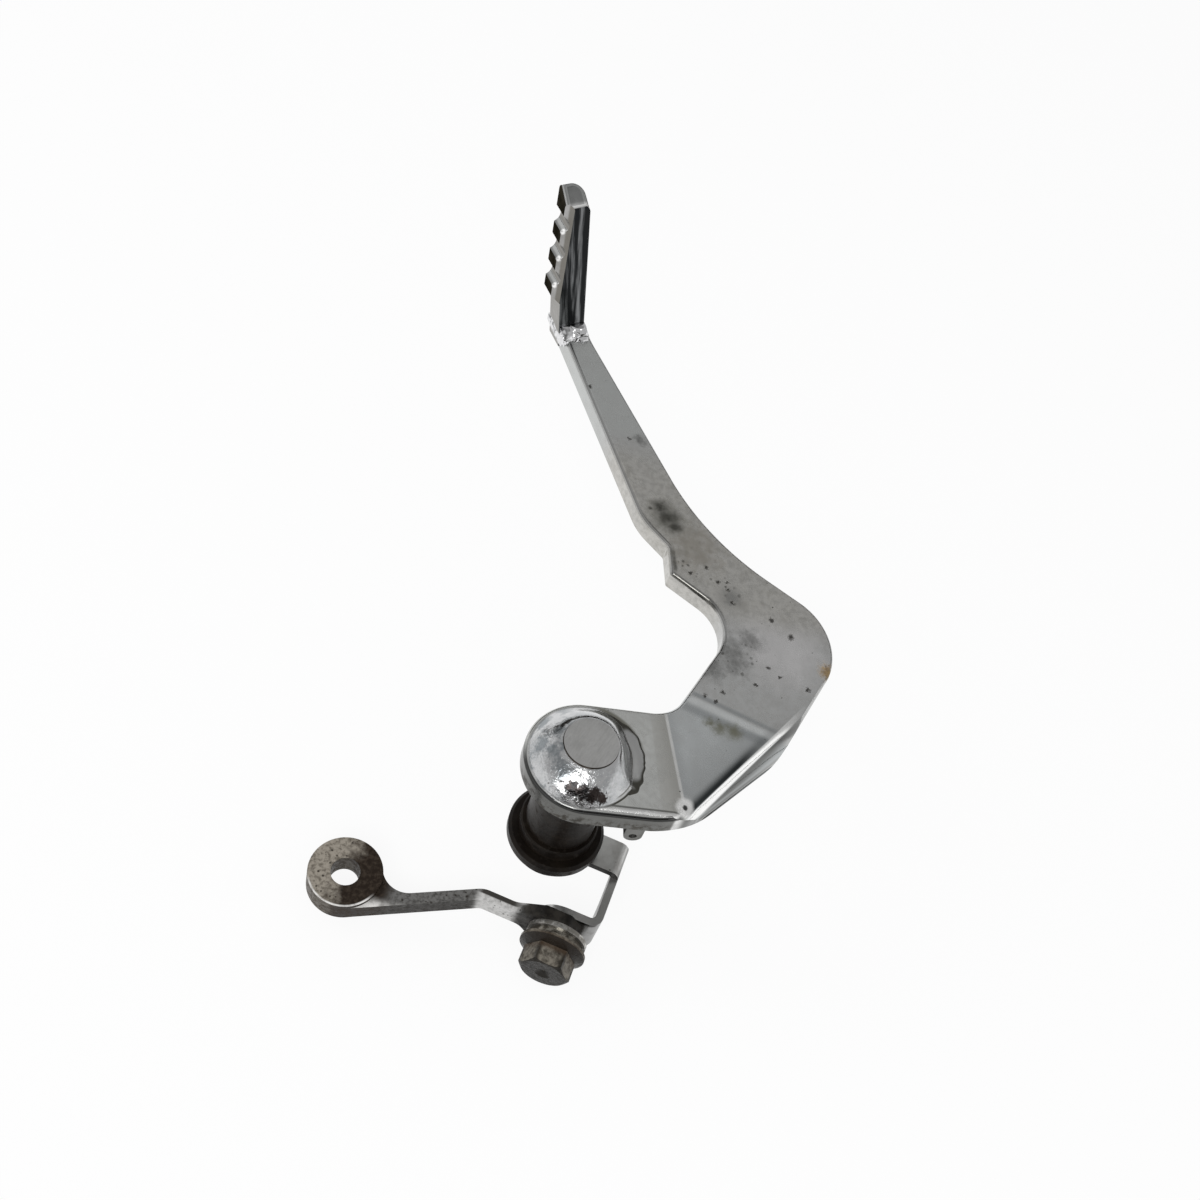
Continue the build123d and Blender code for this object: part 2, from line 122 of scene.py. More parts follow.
# Stretches along the lever and across it, in mm: start, full, and where there are four levels, until and end
EYE_WORN_MM = (-50.5, -57.0)
EYE_WANDER_MM = 18.0
EYE_MM = (-37.0, -42.0)
STRAP_MM = (-43.0, -36.0, -2.0, 3.0)
BEND_MM = (-15.5, -13.0, -3.0, 1.0)
LUG_MM = (-1.0, 2.5)
FAR_EDGE_MM = (-23.9, -23.4)
EDGE_HIGHLIGHT_MM = (-22.9, -22.4)
HEXAGON_MM = (-32.2, -32.6)
FLANGE_MM = (-34.5, -32.6, -31.0, -29.6)
# Level in mm above which the bracket's near faces take black painted shade
BRACKET_BLACK_ABOVE_MM = -53.5

# Lines on the pieces: direction across each line, and its distance from the pivot in mm
UP = (0.0, 0.0, 1.0)
RIGHTWARDS = ((1.0, 0.0, 0.0), 0.0)
FORWARDS = ((0.0, 1.0, 0.0), 0.0)
UPWARDS = (UP, 0.0)
LOW_LEFT_LINE = ((0.6, 0.8, 0.0), 0.0)
# Mean direction in which the arm's three flats face
TOP_WAY = (0.05, -0.04, 1.0)
# Press lines of the arm
FIRST_PRESS = ((0.989, 0.147, 0.0), 26.48)
FIRST_PRESS_FOOT = ((0.997, 0.083, 0.0), 20.55)
SECOND_PRESS = ((0.303, 0.953, 0.0), 33.3)
NEAR_EDGE = ((-0.681, 0.732, 0.0), -33.6)
# Rolled near rim of the boss, inwards from its edge, and where its near side fades and ends
BOSS_R_MM = 18.0
BOSS_NEAR_MM = (6.0, -4.0)
BOSS_END_MM = (30.0, 27.0)
ROLL_START_MM = 3.6
ROLL_END_MM = 1.4
ROLL_R_MM = 3.6
# Line where the near edge of the middle flat starts to roll over
ROLL_LINE = ((-0.744, 0.668, 0.0), -31.6)
ROLL_BUMP_PER_MM = 0.13
ROLL_BUMP_FROM_MM = 0.4
ROLL_BUMP_TO_MM = 2.4
ARM_BUMP_MM = 0.12
# Stretches of the arm forwards, in mm: start, full, and where there are four levels, until and end
WARM_MM = (50.0, 62.0, 108.0, 122.0)
TIP_MM = (118.0, 126.0)
NEAR_SIDE_MM = (60.0, 25.0)
CROOK_MM = (69.0, 71.5, 77.0, 81.0)
# The same to the right: the second press line, the roll's shades and its bump
FOLD_MM = (24.0, 31.0, 54.0, 68.0)
ROLL_MM = (28.0, 32.0, 58.0, 72.0)
ROLL_BUMP_ALONG_MM = (30.0, 34.0, 60.0, 72.0)
# Radius of the line of painted shade round the dome's toe
TOE_DIRT_R_MM = 16.7

# Stains, marks, and places of painted reflection, highlight and shade: place in mm, radius, raggedness,
# grain, softness
# Painted dark reflection on the dome's near slope, black with some brown
DOME_DARK_REFLECTION = [
    ((-4.6, -12.9, 3.6), 2.3, 2.4, 1.0, 0.25), ((-1.6, -13.6, 3.4), 2.6, 2.4, 1.0, 0.25),
    ((1.6, -14.1, 3.0), 2.6, 2.4, 1.0, 0.25), ((4.2, -14.4, 2.3), 1.9, 2.2, 0.9, 0.25),
]
DARK_STAINS = [
    ((25.8, 90.5, 5.3), 7.0, 2.6, 3.0, 1.0), ((23.0, 94.3, 5.8), 5.6, 2.6, 2.4, 1.0),
    ((28.0, 87.6, 4.9), 4.6, 2.0, 2.0, 1.0), ((19.6, 93.1, 6.0), 1.2, 0.8, 0.8, 0.9),
]
SMEARS = [
    ((45.9, 44.6, -0.5), 8.5, 6.0, 3.0, 1.0), ((47.4, 40.5, -1.0), 7.0, 6.0, 2.4, 1.0),
    ((40.0, 37.2, -0.7), 7.0, 6.0, 2.4, 1.0), ((53.0, 49.4, -0.6), 6.5, 5.0, 3.0, 1.0),
    ((16.0, 120.7, 8.8), 3.4, 3.0, 2.0, 0.9), ((46.8, 64.0, 1.2), 6.0, 7.0, 1.8, 1.0),
]
OLIVE_STAINS = [
    ((41.4, 16.2, -2.0), 4.4, 2.2, 1.6, 1.0), ((45.6, 15.8, -2.4), 4.8, 2.2, 1.6, 1.0),
    ((38.2, 17.6, -1.7), 3.0, 2.0, 1.6, 1.0),
]
STAIN_HALO = (DARK_STAINS[0][0], 10.0, 8.0, 4.0, 0.95)
WARM_BAND = ((35.0, 81.0, 3.8), 14.0, 12.0, 3.0, 0.95)
PALE_FIELD = ((63.0, 50.0, -1.4), 22.0, 8.0, 9.0, 0.7)
RUST = ((78.9, 43.0, -3.2), 4.4, 3.0, 1.1, 0.8)
# Painted shade on the crook's rim, where it faces partly up
CROOK_RIM = ((35.0, 65.0, 2.1), 11.0, 1.0, 3.0, 0.3)
# Corner between the rolled rims: a painted highlight with a painted dark core, and a dent, whose depth
# counts the arm's bumps
CORNER_AT = (29.0, -12.8, -0.5)
CORNER_GLEAM = (CORNER_AT, 3.8, 0.6, 2.0, 0.5)
CORNER_CORE = (CORNER_AT, 1.1, 0.5, 1.0, 0.5)
CORNER_DENT = (CORNER_AT, 4.4, 0.4, 4.0, 1.0)
CORNER_DENT_DEPTH = 4.5
# Line of painted shade along the crook's short edge
CROOK_LINE = ((0.993, 0.117, 0.0), 36.2)
# Fields of small dark freckles: place in mm, radius. The edge is raggedness, grain, softness
FRECKLE_FIELDS = [((46.5, 43.0, -0.8), 14.0), ((44.0, 66.5, 1.6), 9.0), ((33.0, 73.0, 3.2), 8.0)]
FRECKLE_EDGE = (8.0, 4.0, 0.9)
# Single pits: place in mm, radius. The spread widens them, and the edge is raggedness, grain, softness
PIT_SPREAD = 1.15
PIT_EDGE = (1.5, 0.9, 0.75)
PIT_PLACES = [
    (38.7, 74.1, 2.6, 0.9), (42.6, 69.2, 2.0, 0.9), (45.8, 69.9, 1.6, 0.6), (45.9, 66.9, 1.5, 0.7),
    (33.1, 70.6, 3.0, 0.7), (47.2, 62.2, 1.0, 0.7), (42.1, 85.2, 3.0, 0.6), (60.5, 58.6, -0.4, 1.0),
    (67.0, 53.5, -1.3, 1.3), (58.5, 40.6, -1.6, 0.9), (54.1, 33.7, -2.1, 0.8), (71.7, 35.2, -3.4, 0.9),
    (37.1, 27.0, -1.4, 0.9), (43.0, 29.2, -1.7, 0.9), (40.6, 25.6, -1.8, 0.8), (-2.1, 139.6, 11.9, 0.7),
    (12.1, 120.5, 9.1, 0.8), (62.5, 38.0, -2.2, 0.7),
]


def add_object(name, data):
    """A new object in the scene."""
    thing = bpy.data.objects.new(name, data)
    bpy.context.scene.collection.objects.link(thing)
    return thing


def place(at):
    """A place given in mm as a vector in metres."""
    return Vector(at) * MM


def put(tree, kind, values=None, links=None, **settings):
    """Adds a node, sets its fields and unlinked inputs, and links the rest."""
    node = tree.nodes.new(kind)
    for name, setting in settings.items():
        setattr(node, name, setting)
    for key, value in (values or {}).items():
        node.inputs[key].default_value = value
    for key, socket in (links or {}).items():
        tree.links.new(socket, node.inputs[key])
    return node


def join(term, socket):
    """Sets an input to a number or a colour, or links a socket to it."""
    if isinstance(term, (int, float)):
        socket.default_value = term
    elif isinstance(term, tuple):
        socket.default_value = term + (1.0,)
    else:
        socket.id_data.links.new(term, socket)


def reckon(operation, first, second=0.0, clamp=False):
    """One sum on two terms, of which one or both are sockets."""
    known = second if isinstance(first, (int, float)) else first
    node = put(known.id_data, "ShaderNodeMath", operation=operation, use_clamp=clamp)
    join(first, node.inputs[0])
    join(second, node.inputs[1])
    return node.outputs[0]


def times(first, second):
    return reckon("MULTIPLY", first, second)


def plus(first, second, clamp=False):
    return reckon("ADD", first, second, clamp)


def less(first, second):
    return reckon("SUBTRACT", first, second)


def rest_of(share, clamp=False):
    """What a share leaves of one."""
    return reckon("SUBTRACT", 1.0, share, clamp)


def add_share(base, mask, share):
    """A value with a share of a mask added."""
    return plus(base, times(mask, share))


def length(first, second):
    """Length of the hypotenuse over two distances."""
    return reckon("SQRT", plus(times(first, first), times(second, second)))


def soft_step(value, low, high, to_low=0.0, to_high=1.0):
    """Smooth ramp of a value between two levels."""
    node = put(value.id_data, "ShaderNodeMapRange", {3: to_low, 4: to_high}, {0: value},
               interpolation_type="SMOOTHSTEP")
    join(low, node.inputs[1])
    join(high, node.inputs[2])
    return node.outputs[0]


def within(value, start, full, until, end):
    """Where a value lies in a stretch, with soft ends. The four levels rise."""
    return times(soft_step(value, start, full), soft_step(value, end, until))


def layer(mask, under, over):
    """Colour over colour by a mask. Colours are sockets or plain tuples."""
    node = put(mask.id_data, "ShaderNodeMix", data_type="RGBA")
    for index, term in ((0, mask), (6, under), (7, over)):
        join(term, node.inputs[index])
    return node.outputs[2]


def coats(colour, *layers):
    """A colour under several others, the lowest first, each with its mask and the mask's share."""
    for mask, share, tone in layers:
        colour = layer(times(mask, share), colour, tone)
    return colour


def darker(tone, share):
    """A share of a plain colour."""
    return tuple(share * part for part in tone)


def blend_value(mask, under, over):
    """Value over value by a mask."""
    node = put(mask.id_data, "ShaderNodeMix", data_type="FLOAT")
    for index, term in ((0, mask), (2, under), (3, over)):
        join(term, node.inputs[index])
    return node.outputs[0]


def per_metre(space_mm):
    """How many times a space in mm goes into a metre."""
    return reckon("DIVIDE", MM_PER_M, space_mm)


def fractal(where, scale, detail, roughness=0.5):
    """Fractal noise at a place."""
    node = put(where.id_data, "ShaderNodeTexNoise", {"Roughness": roughness}, {"Vector": where})
    join(scale, node.inputs["Scale"])
    join(detail, node.inputs["Detail"])
    return node.outputs[0]


def finish_group(name, inputs, outputs):
    """An empty shader group. An input without a number is a vector, and each output is a number."""
    tree = bpy.data.node_groups.new(name, "ShaderNodeTree")
    for label, default in inputs.items():
        kind = "NodeSocketVector" if default is None else "NodeSocketFloat"
        socket = tree.interface.new_socket(label, in_out="INPUT", socket_type=kind)
        if default is not None:
            socket.default_value = default
    for label in outputs:
        tree.interface.new_socket(label, in_out="OUTPUT", socket_type="NodeSocketFloat")
    return tree, tree.nodes.new("NodeGroupInput").outputs, tree.nodes.new("NodeGroupOutput").inputs


def make_cloud_group():
    """Soft cloudy patches: dull plating, grease, dust."""
    tree, given, out = finish_group(
        "cloudy_patches", {"Vector": None, "Size mm": 8.0, "Detail": 5.0, "Low": 0.4, "High": 0.6},
        ["Mask", "Raw"])
    cloud = fractal(given["Vector"], per_metre(given["Size mm"]), given["Detail"], 0.6)
    join(soft_step(cloud, given["Low"], given["High"]), out["Mask"])
    join(cloud, out["Raw"])
    return tree


def make_hairline_group():
    """Fine rubbing and polishing lines that run one way and break up."""
    tree, given, out = finish_group(
        "hairlines", {"Vector": None, "Turn": 0.0, "Space mm": 0.5, "Length mm": 20.0, "Share": 0.5},
        ["Mask", "Raw"])
    turned = put(tree, "ShaderNodeVectorRotate", {}, {"Vector": given["Vector"], "Angle": given["Turn"]},
                 rotation_type="Z_AXIS")
    crosswise = per_metre(given["Space mm"])
    lengthwise = per_metre(given["Length mm"])
    stretch = put(tree, "ShaderNodeCombineXYZ", {}, {0: lengthwise, 1: crosswise, 2: crosswise})
    drawn = put(tree, "ShaderNodeVectorMath", {}, {0: turned.outputs[0], 1: stretch.outputs[0]},
                operation="MULTIPLY")
    lines = fractal(drawn.outputs[0], 1.0, 3.0, 0.7)
    off_mid = reckon("ABSOLUTE", less(lines, 0.5))
    ridge = soft_step(off_mid, 0.03, 0.0)
    worn = fractal(given["Vector"], 140.0, 2.0)
    kept = rest_of(given["Share"])
    patch = soft_step(worn, kept, plus(kept, 0.15))
    join(times(ridge, patch), out["Mask"])
    join(lines, out["Raw"])
    return tree


def make_pit_group():
    """Round corrosion pits in a share of the cells."""
    tree, given, out = finish_group(
        "corrosion_pits", {"Vector": None, "Space mm": 3.0, "Share": 0.2, "Width": 0.16}, ["Mask"])
    scale = per_metre(given["Space mm"])
    cells = put(tree, "ShaderNodeTexVoronoi", {}, {"Vector": given["Vector"], "Scale": scale})
    pick = put(tree, "ShaderNodeSeparateColor", {}, {0: cells.outputs["Color"]})
    chosen = reckon("LESS_THAN", pick.outputs[0], given["Share"])
    wide = times(given["Width"], plus(pick.outputs[1], 0.35))
    round_pit = soft_step(cells.outputs["Distance"], wide, times(wide, 0.45))
    join(times(chosen, round_pit), out["Mask"])
    return tree


def make_spot_group():
    """One ragged spot at a place on the piece."""
    tree, given, out = finish_group(
        "ragged_spot", {"Vector": None, "Centre": None, "Radius mm": 2.0, "Ragged mm": 1.0, "Grain mm": 2.0,
                        "Soft": 0.5}, ["Mask"])
    fray = fractal(given["Vector"], per_metre(given["Grain mm"]), 4.0, 0.65)
    gap = put(tree, "ShaderNodeVectorMath", {}, {0: given["Vector"], 1: given["Centre"]},
              operation="DISTANCE")
    off = times(gap.outputs["Value"], MM_PER_M)
    shift = times(less(fray, 0.5), given["Ragged mm"])
    reach = add_share(off, shift, 2.0)
    inner = times(given["Radius mm"], rest_of(given["Soft"]))
    join(soft_step(reach, given["Radius mm"], inner), out["Mask"])
    return tree


CLOUDS = make_cloud_group()
HAIRLINES = make_hairline_group()
PITS = make_pit_group()
SPOT = make_spot_group()


def use(group, where, **values):
    """Places a shared effect in a material with its own values."""
    node = put(where.id_data, "ShaderNodeGroup", node_tree=group)
    join(where, node.inputs["Vector"])
    for label, value in values.items():
        node.inputs[label.replace("_", " ")].default_value = value
    return node.outputs[0]


def raw(mask):
    """The unshaped texture of a shared effect, beside its mask."""
    return mask.node.outputs["Raw"]


def feed(shader, **terms):
    """Links or sets inputs of the shader, named with underscores for spaces."""
    for label, term in terms.items():
        join(term, shader.inputs[label.replace("_", " ")])


def start_finish(name, metallic=1.0, roughness=0.3, specular=0.5):
    """An empty material with its shader, and the piece's own coordinates."""
    finish = bpy.data.materials.new(name)
    finish.use_nodes = True
    tree = finish.node_tree
    shader = tree.nodes["Principled BSDF"]
    feed(shader, Metallic=metallic, Roughness=roughness, Specular_IOR_Level=specular)
    coords = tree.nodes.new("ShaderNodeTexCoord")
    return finish, shader, coords.outputs["Object"], coords.outputs["Normal"]


def lift(shader, height, depth_mm):
    """Bump of a given depth from a height mask."""
    bump = put(shader.id_data, "ShaderNodeBump", {"Strength": 1.0, "Distance": depth_mm * MM},
               {"Height": height})
    feed(shader, Normal=bump.outputs[0])


def spot(where, centre, radius, ragged, grain, soft):
    """One ragged spot at a place in mm, its sizes in mm too."""
    return use(SPOT, where, Centre=place(centre), Radius_mm=radius, Ragged_mm=ragged,
               Grain_mm=grain, Soft=soft)


def spots(where, marks):
    """The strongest of several ragged spots."""
    return most([spot(where, *mark) for mark in marks])


def project(where, way):
    """How far a place lies along a direction, or how far a normal faces it."""
    node = put(where.id_data, "ShaderNodeVectorMath", {1: tuple(way)}, {0: where}, operation="DOT_PRODUCT")
    return node.outputs["Value"]


def across(where, line):
    """Distance in mm from a line on the piece, given by its direction across and its offset."""
    way, offset = line
    return less(project(where, [MM_PER_M * part for part in way]), offset)


def turned_to(normal, way, low, high):
    """Where a surface faces a direction, as a ramp between two levels."""
    return soft_step(project(normal, way), low, high)


def stroke(distance, half, soft):
    """A soft line where a distance is near zero."""
    return soft_step(reckon("ABSOLUTE", distance), half + soft, half)


def both(*masks):
    """Where all of several masks hold."""
    held = masks[0]
    for mask in masks[1:]:
        held = times(held, mask)
    return held


def most(masks):
    """The strongest of several masks."""
    top = masks[0]
    for mask in masks[1:]:
        top = reckon("MAXIMUM", top, mask)
    return top


# Tones of the finishes: the bare colour of metal, film or dirt, or, where marked, painted reflection,
# highlight or shade
WHITE_GLEAM = (0.98, 0.98, 0.97)
# Arm tones: the boss, middle and upper flats, the press lines' tones, the side faces and the edges are
# painted reflection and shade; the rest is the plating's own tone, dirt and rust
ARM = SimpleNamespace(
    boss=(0.62, 0.63, 0.61), boss_mottled=(0.56, 0.565, 0.545), middle=(0.62, 0.645, 0.65),
    middle_near=(0.46, 0.48, 0.485), upper=(0.53, 0.535, 0.53), upper_mottled=(0.49, 0.49, 0.48),
    pale_field=(0.70, 0.69, 0.69), scuffed=(0.57, 0.555, 0.52), scuffed_mottled=(0.43, 0.42, 0.39),
    scuff=(0.34, 0.325, 0.29), tip=(0.545, 0.56, 0.55), press_band=(0.475, 0.47, 0.44),
    press_shade=(0.42, 0.44, 0.45), press_ridge=(0.90, 0.90, 0.89), fold_bright=(0.78, 0.80, 0.80),
    fold_dark=(0.30, 0.32, 0.33), dull=(0.46, 0.46, 0.455), haze=(0.40, 0.40, 0.39),
    side_near=(0.07, 0.07, 0.065), side_far=(0.34, 0.34, 0.33), edge=(0.34, 0.34, 0.335),
    warm_band=(0.31, 0.285, 0.24), smear=(0.20, 0.20, 0.195), freckle=(0.10, 0.098, 0.09),
    crook_shade=(0.06, 0.058, 0.05), olive=(0.19, 0.185, 0.125), stain_halo=(0.24, 0.235, 0.20),
    stain=(0.045, 0.045, 0.037), pit=(0.06, 0.056, 0.05), dirt=(0.05, 0.044, 0.035),
    rust=(0.27, 0.17, 0.045), rust_deep=(0.13, 0.075, 0.022), rust_dot=(0.05, 0.03, 0.012)
)


def arm_zones(where, top, mottle):
    """Tones of the arm's three flats, one per flat as a painted reflection and darker towards the near edge,
    and painted highlights and shade along the two press lines between them.
    """
    first = across(where, FIRST_PRESS)
    foot = across(where, FIRST_PRESS_FOOT)
    second = across(where, SECOND_PRESS)
    along = across(where, FORWARDS)
    right = across(where, RIGHTWARDS)

    past_first = soft_step(first, 0.0, 0.7)
    near_edge = soft_step(across(where, NEAR_EDGE), 20.0, 3.0)
    boss = layer(mottle, ARM.boss, ARM.boss_mottled)
    flats = layer(past_first, boss, layer(near_edge, ARM.middle, ARM.middle_near))
    scuffs = use(CLOUDS, where, Size_mm=4.5, Detail=8.0, Low=0.50, High=0.66)
    scuffed = coats(layer(mottle, ARM.scuffed, ARM.scuffed_mottled), (scuffs, 0.45, ARM.scuff))
    upper = coats(layer(mottle, ARM.upper, ARM.upper_mottled),
                  (spot(where, *PALE_FIELD), 1.0, ARM.pale_field),
                  (within(along, *WARM_MM), 0.85, scuffed),
                  (soft_step(along, *TIP_MM), 1.0, ARM.tip))
    flats = layer(soft_step(second, -0.5, 2.0), flats, upper)

    # Painted shade and painted highlights along the two press lines
    below_second = soft_step(second, 0.0, -2.0)
    band = both(soft_step(foot, -0.3, 0.5), soft_step(first, 0.0, -0.7), below_second, top,
                soft_step(foot, -2.0, 6.0, 0.35, 1.0))
    shade = both(soft_step(first, 4.0, 0.6), past_first, below_second, top)
    ridge = both(stroke(first, 0.22, 0.45), soft_step(second, -3.0, -7.0), top)
    fade = both(within(right, *FOLD_MM), top)
    bright = both(stroke(second, 0.3, 2.0), fade)
    upper_line = stroke(less(second, 2.6), 0.1, 1.2)
    lower_line = stroke(plus(second, 3.2), 0.3, 2.4)
    dark = both(most([upper_line, times(lower_line, 0.9)]), fade)
    return coats(flats, (band, 1.0, ARM.press_band), (shade, 0.45, ARM.press_shade),
                 (ridge, 0.75, ARM.press_ridge), (bright, 0.9, ARM.fold_bright), (dark, 0.7, ARM.fold_dark))


def boss_gap(where):
    """Distance in mm from the boss's edge inwards, and where its near side is."""
    right = across(where, RIGHTWARDS)
    aside = across(where, FORWARDS)
    reach = length(reckon("MINIMUM", right, 0.0), aside)
    near = both(soft_step(aside, *BOSS_NEAR_MM), soft_step(right, *BOSS_END_MM))
    return less(BOSS_R_MM, reach), near


def rim_drop(where):
    """Depth in mm by which the near rims roll over, along the boss and the middle flat."""
    gap, near = boss_gap(where)
    rolled = reckon("MAXIMUM", gap, ROLL_END_MM)
    rolled = reckon("MAXIMUM", less(ROLL_START_MM, rolled), 0.0)
    boss = reckon("DIVIDE", times(rolled, rolled), 2.0 * ROLL_R_MM)
    beyond = less(-ROLL_BUMP_FROM_MM, across(where, ROLL_LINE))
    beyond = reckon("MINIMUM", reckon("MAXIMUM", beyond, 0.0), ROLL_BUMP_TO_MM)
    flat = times(times(beyond, beyond), ROLL_BUMP_PER_MM)
    on_flat = within(across(where, RIGHTWARDS), *ROLL_BUMP_ALONG_MM)
    return plus(times(boss, near), times(flat, on_flat))


# Rim tones, all painted reflection and shade: bright band, dark lines, the roll's shade, the corner's dark
# core and the line round the dome's toe
RIM = SimpleNamespace(
    band=(0.86, 0.86, 0.85), inner_line=(0.14, 0.14, 0.13), edge=(0.02, 0.02, 0.02),
    crook=(0.07, 0.068, 0.06), roll_shade=(0.04, 0.044, 0.046), outer_line=(0.12, 0.12, 0.115),
    corner_core=(0.08, 0.08, 0.08), toe_shade=(0.11, 0.105, 0.07)
)


def rim_lines(where, normal, colour):
    """Painted reflections along the rolled near rims: bright bands and dark lines, a painted highlight with
    a dark core at their corner, painted shade on the crook's rim, and painted shade round the dome's toe.
    """
    gap, near = boss_gap(where)
    up = project(normal, UP)
    right = across(where, RIGHTWARDS)
    aside = across(where, FORWARDS)
    band = both(within(gap, 0.9, 1.2, 2.6, 3.0), near)
    inner = both(stroke(less(gap, 3.1), 0.1, 0.35), near)
    edge = both(within(up, 0.12, 0.3, 0.82, 0.90), near)
    crook = both(within(up, 0.15, 0.35, 0.80, 0.90), spot(where, *CROOK_RIM))

    roll = across(where, ROLL_LINE)
    on_flat = within(right, *ROLL_MM)
    shade = both(within(roll, -1.0, -0.5, 0.0, 3.4), on_flat, soft_step(right, 62.0, 46.0, 0.3, 1.0))
    on_roll = both(on_flat, soft_step(up, 0.35, 0.55))
    gleam = both(within(roll, -2.8, -2.2, -1.0, -0.6), on_roll)
    outer = both(within(roll, -6.0, -3.2, -2.8, -2.4), on_roll)
    toe = both(stroke(less(length(right, aside), TOE_DIRT_R_MM), 0.3, 1.1),
               soft_step(aside, 1.0, 7.0), soft_step(right, 0.0, 6.0))
    return coats(colour, (band, 0.8, RIM.band), (inner, 0.8, RIM.inner_line), (edge, 0.92, RIM.edge),
                 (crook, 0.85, RIM.crook), (reckon("POWER", shade, 2.0), 1.0, RIM.roll_shade),
                 (gleam, 1.0, WHITE_GLEAM), (outer, 0.85, RIM.outer_line),
                 (spot(where, *CORNER_GLEAM), 1.0, WHITE_GLEAM),
                 (spot(where, *CORNER_CORE), 1.0, RIM.corner_core), (toe, 0.75, RIM.toe_shade))


def arm_chrome():
    """Worn chrome of the plate arm: three dulled flats with painted reflection tones, press lines and rims
    with painted highlights and shade, painted shade on side faces and edges, pits, stains, rust.
    """
    finish, shader, where, normal = start_finish("arm_chrome")
    top = turned_to(normal, TOP_WAY, 0.93, 0.975)
    side = turned_to(normal, UP, 0.55, 0.2)
    along = across(where, FORWARDS)
    dull = use(CLOUDS, where, Size_mm=26.0, Detail=6.0, Low=0.32, High=0.72)
    haze = use(CLOUDS, where, Size_mm=4.0, Detail=6.0, Low=0.35, High=0.75)
    mottle = use(CLOUDS, where, Size_mm=1.8, Detail=6.0, Low=0.38, High=0.68)
    # Painted shade on the side faces, darkest near the boss, and on the edges between top and side
    low_side = both(side, soft_step(along, *NEAR_SIDE_MM))
    low_tone = layer(soft_step(along, 0.0, 16.0), ARM.side_near, ARM.side_far)
    edge = both(rest_of(top), rest_of(side), soft_step(along, 30.0, 50.0))
    colour = coats(arm_zones(where, top, mottle), (dull, 0.25, ARM.dull), (haze, 0.22, ARM.haze),
                   (low_side, 0.9, low_tone), (edge, 0.7, ARM.edge))
    colour = rim_lines(where, normal, colour)

    warm_band = spot(where, *WARM_BAND)
    smear = times(spots(where, SMEARS), blend_value(mottle, 0.75, 1.0))
    freckles = use(PITS, where, Space_mm=1.6, Share=0.26, Width=0.46)
    fields = most([spot(where, at, wide, *FRECKLE_EDGE) for at, wide in FRECKLE_FIELDS])
    crook_shade = both(stroke(across(where, CROOK_LINE), 0.2, 0.9), within(along, *CROOK_MM),
                      blend_value(haze, 0.5, 1.0))
    olive = spots(where, OLIVE_STAINS)
    dark_stain = spots(where, DARK_STAINS)
    smoky = reckon("POWER", times(dark_stain, blend_value(haze, 0.8, 1.0)), 1.2)
    specks = use(PITS, where, Space_mm=3.4, Share=0.10, Width=0.10)
    dots = use(PITS, where, Space_mm=1.3, Share=0.05, Width=0.2)
    scatter = most([times(specks, 0.7), times(dots, 0.6)])
    holes = most([spot(where, at[:3], PIT_SPREAD * at[3], *PIT_EDGE) for at in PIT_PLACES])
    holes = most([holes, times(scatter, top)])
    grime = use(CLOUDS, where, Size_mm=2.2, Detail=7.0, Low=0.42, High=0.62)
    near_boss = both(soft_step(across(where, RIGHTWARDS), 30.0, 20.0), soft_step(along, 2.0, -10.0))
    dirt = both(side, near_boss, soft_step(across(where, UPWARDS), -1.8, -5.0), grime)
    rust = spot(where, *RUST)
    rust_dots = use(PITS, where, Space_mm=1.1, Share=0.4, Width=0.3)
    rust_tone = layer(mottle, ARM.rust, ARM.rust_deep)
    colour = coats(colour, (warm_band, 0.6, ARM.warm_band), (smear, 0.85, ARM.smear),
                   (both(freckles, fields, top), 0.75, ARM.freckle), (crook_shade, 0.85, ARM.crook_shade),
                   (olive, 0.8, ARM.olive), (spot(where, *STAIN_HALO), 0.5, ARM.stain_halo),
                   (smoky, 1.0, ARM.stain), (holes, 0.88, ARM.pit), (dirt, 0.9, ARM.dirt),
                   (rust, 0.9, rust_tone), (both(rust, rust_dots), 1.0, ARM.rust_dot))

    rubbed = most([use(HAIRLINES, where, Turn=0.9, Space_mm=0.35, Length_mm=14.0, Share=0.55),
                   use(HAIRLINES, where, Turn=-0.5, Space_mm=0.5, Length_mm=9.0, Share=0.45)])
    soiled = most([dark_stain, dirt, times(most([warm_band, olive]), 0.3)])
    rough = plus(plus(times(dull, 0.08), times(haze, 0.06)), blend_value(top, 0.10, 0.17))
    rough = add_share(add_share(rough, rubbed, 0.12), soiled, 0.3)
    rough = plus(rough, times(most([rust, holes]), 0.5), clamp=True)
    feed(shader, Base_Color=colour, Roughness=rough, Metallic=rest_of(times(rust, 0.9), clamp=True))

    ripple = use(CLOUDS, where, Size_mm=9.0, Detail=1.0)
    marks = plus(times(holes, 0.8), times(rubbed, 0.03))
    height = less(times(raw(ripple), 0.6), times(marks, top))
    height = less(height, times(spot(where, *CORNER_DENT), CORNER_DENT_DEPTH))
    height = less(height, reckon("DIVIDE", rim_drop(where), ARM_BUMP_MM))
    lift(shader, height, ARM_BUMP_MM)
    return finish


# Pad tones: film and crest are the painted dark reflections of the near face and the crests; bevel, groove
# and cap are painted reflection tones by face direction
PAD = SimpleNamespace(
    chrome=(0.62, 0.62, 0.625), chrome_hazed=(0.50, 0.50, 0.495), film=(0.016, 0.017, 0.018),
    reflection_streaked=(0.20, 0.205, 0.21), crest=(0.010, 0.009, 0.006), crest_reflection_hazed=(0.030, 0.026, 0.019),
    bevel=(0.40, 0.395, 0.39), bevel_hazed=(0.30, 0.295, 0.285), groove=(0.17, 0.16, 0.14),
    cap=(0.40, 0.405, 0.40), cap_hazed=(0.33, 0.335, 0.33)
)


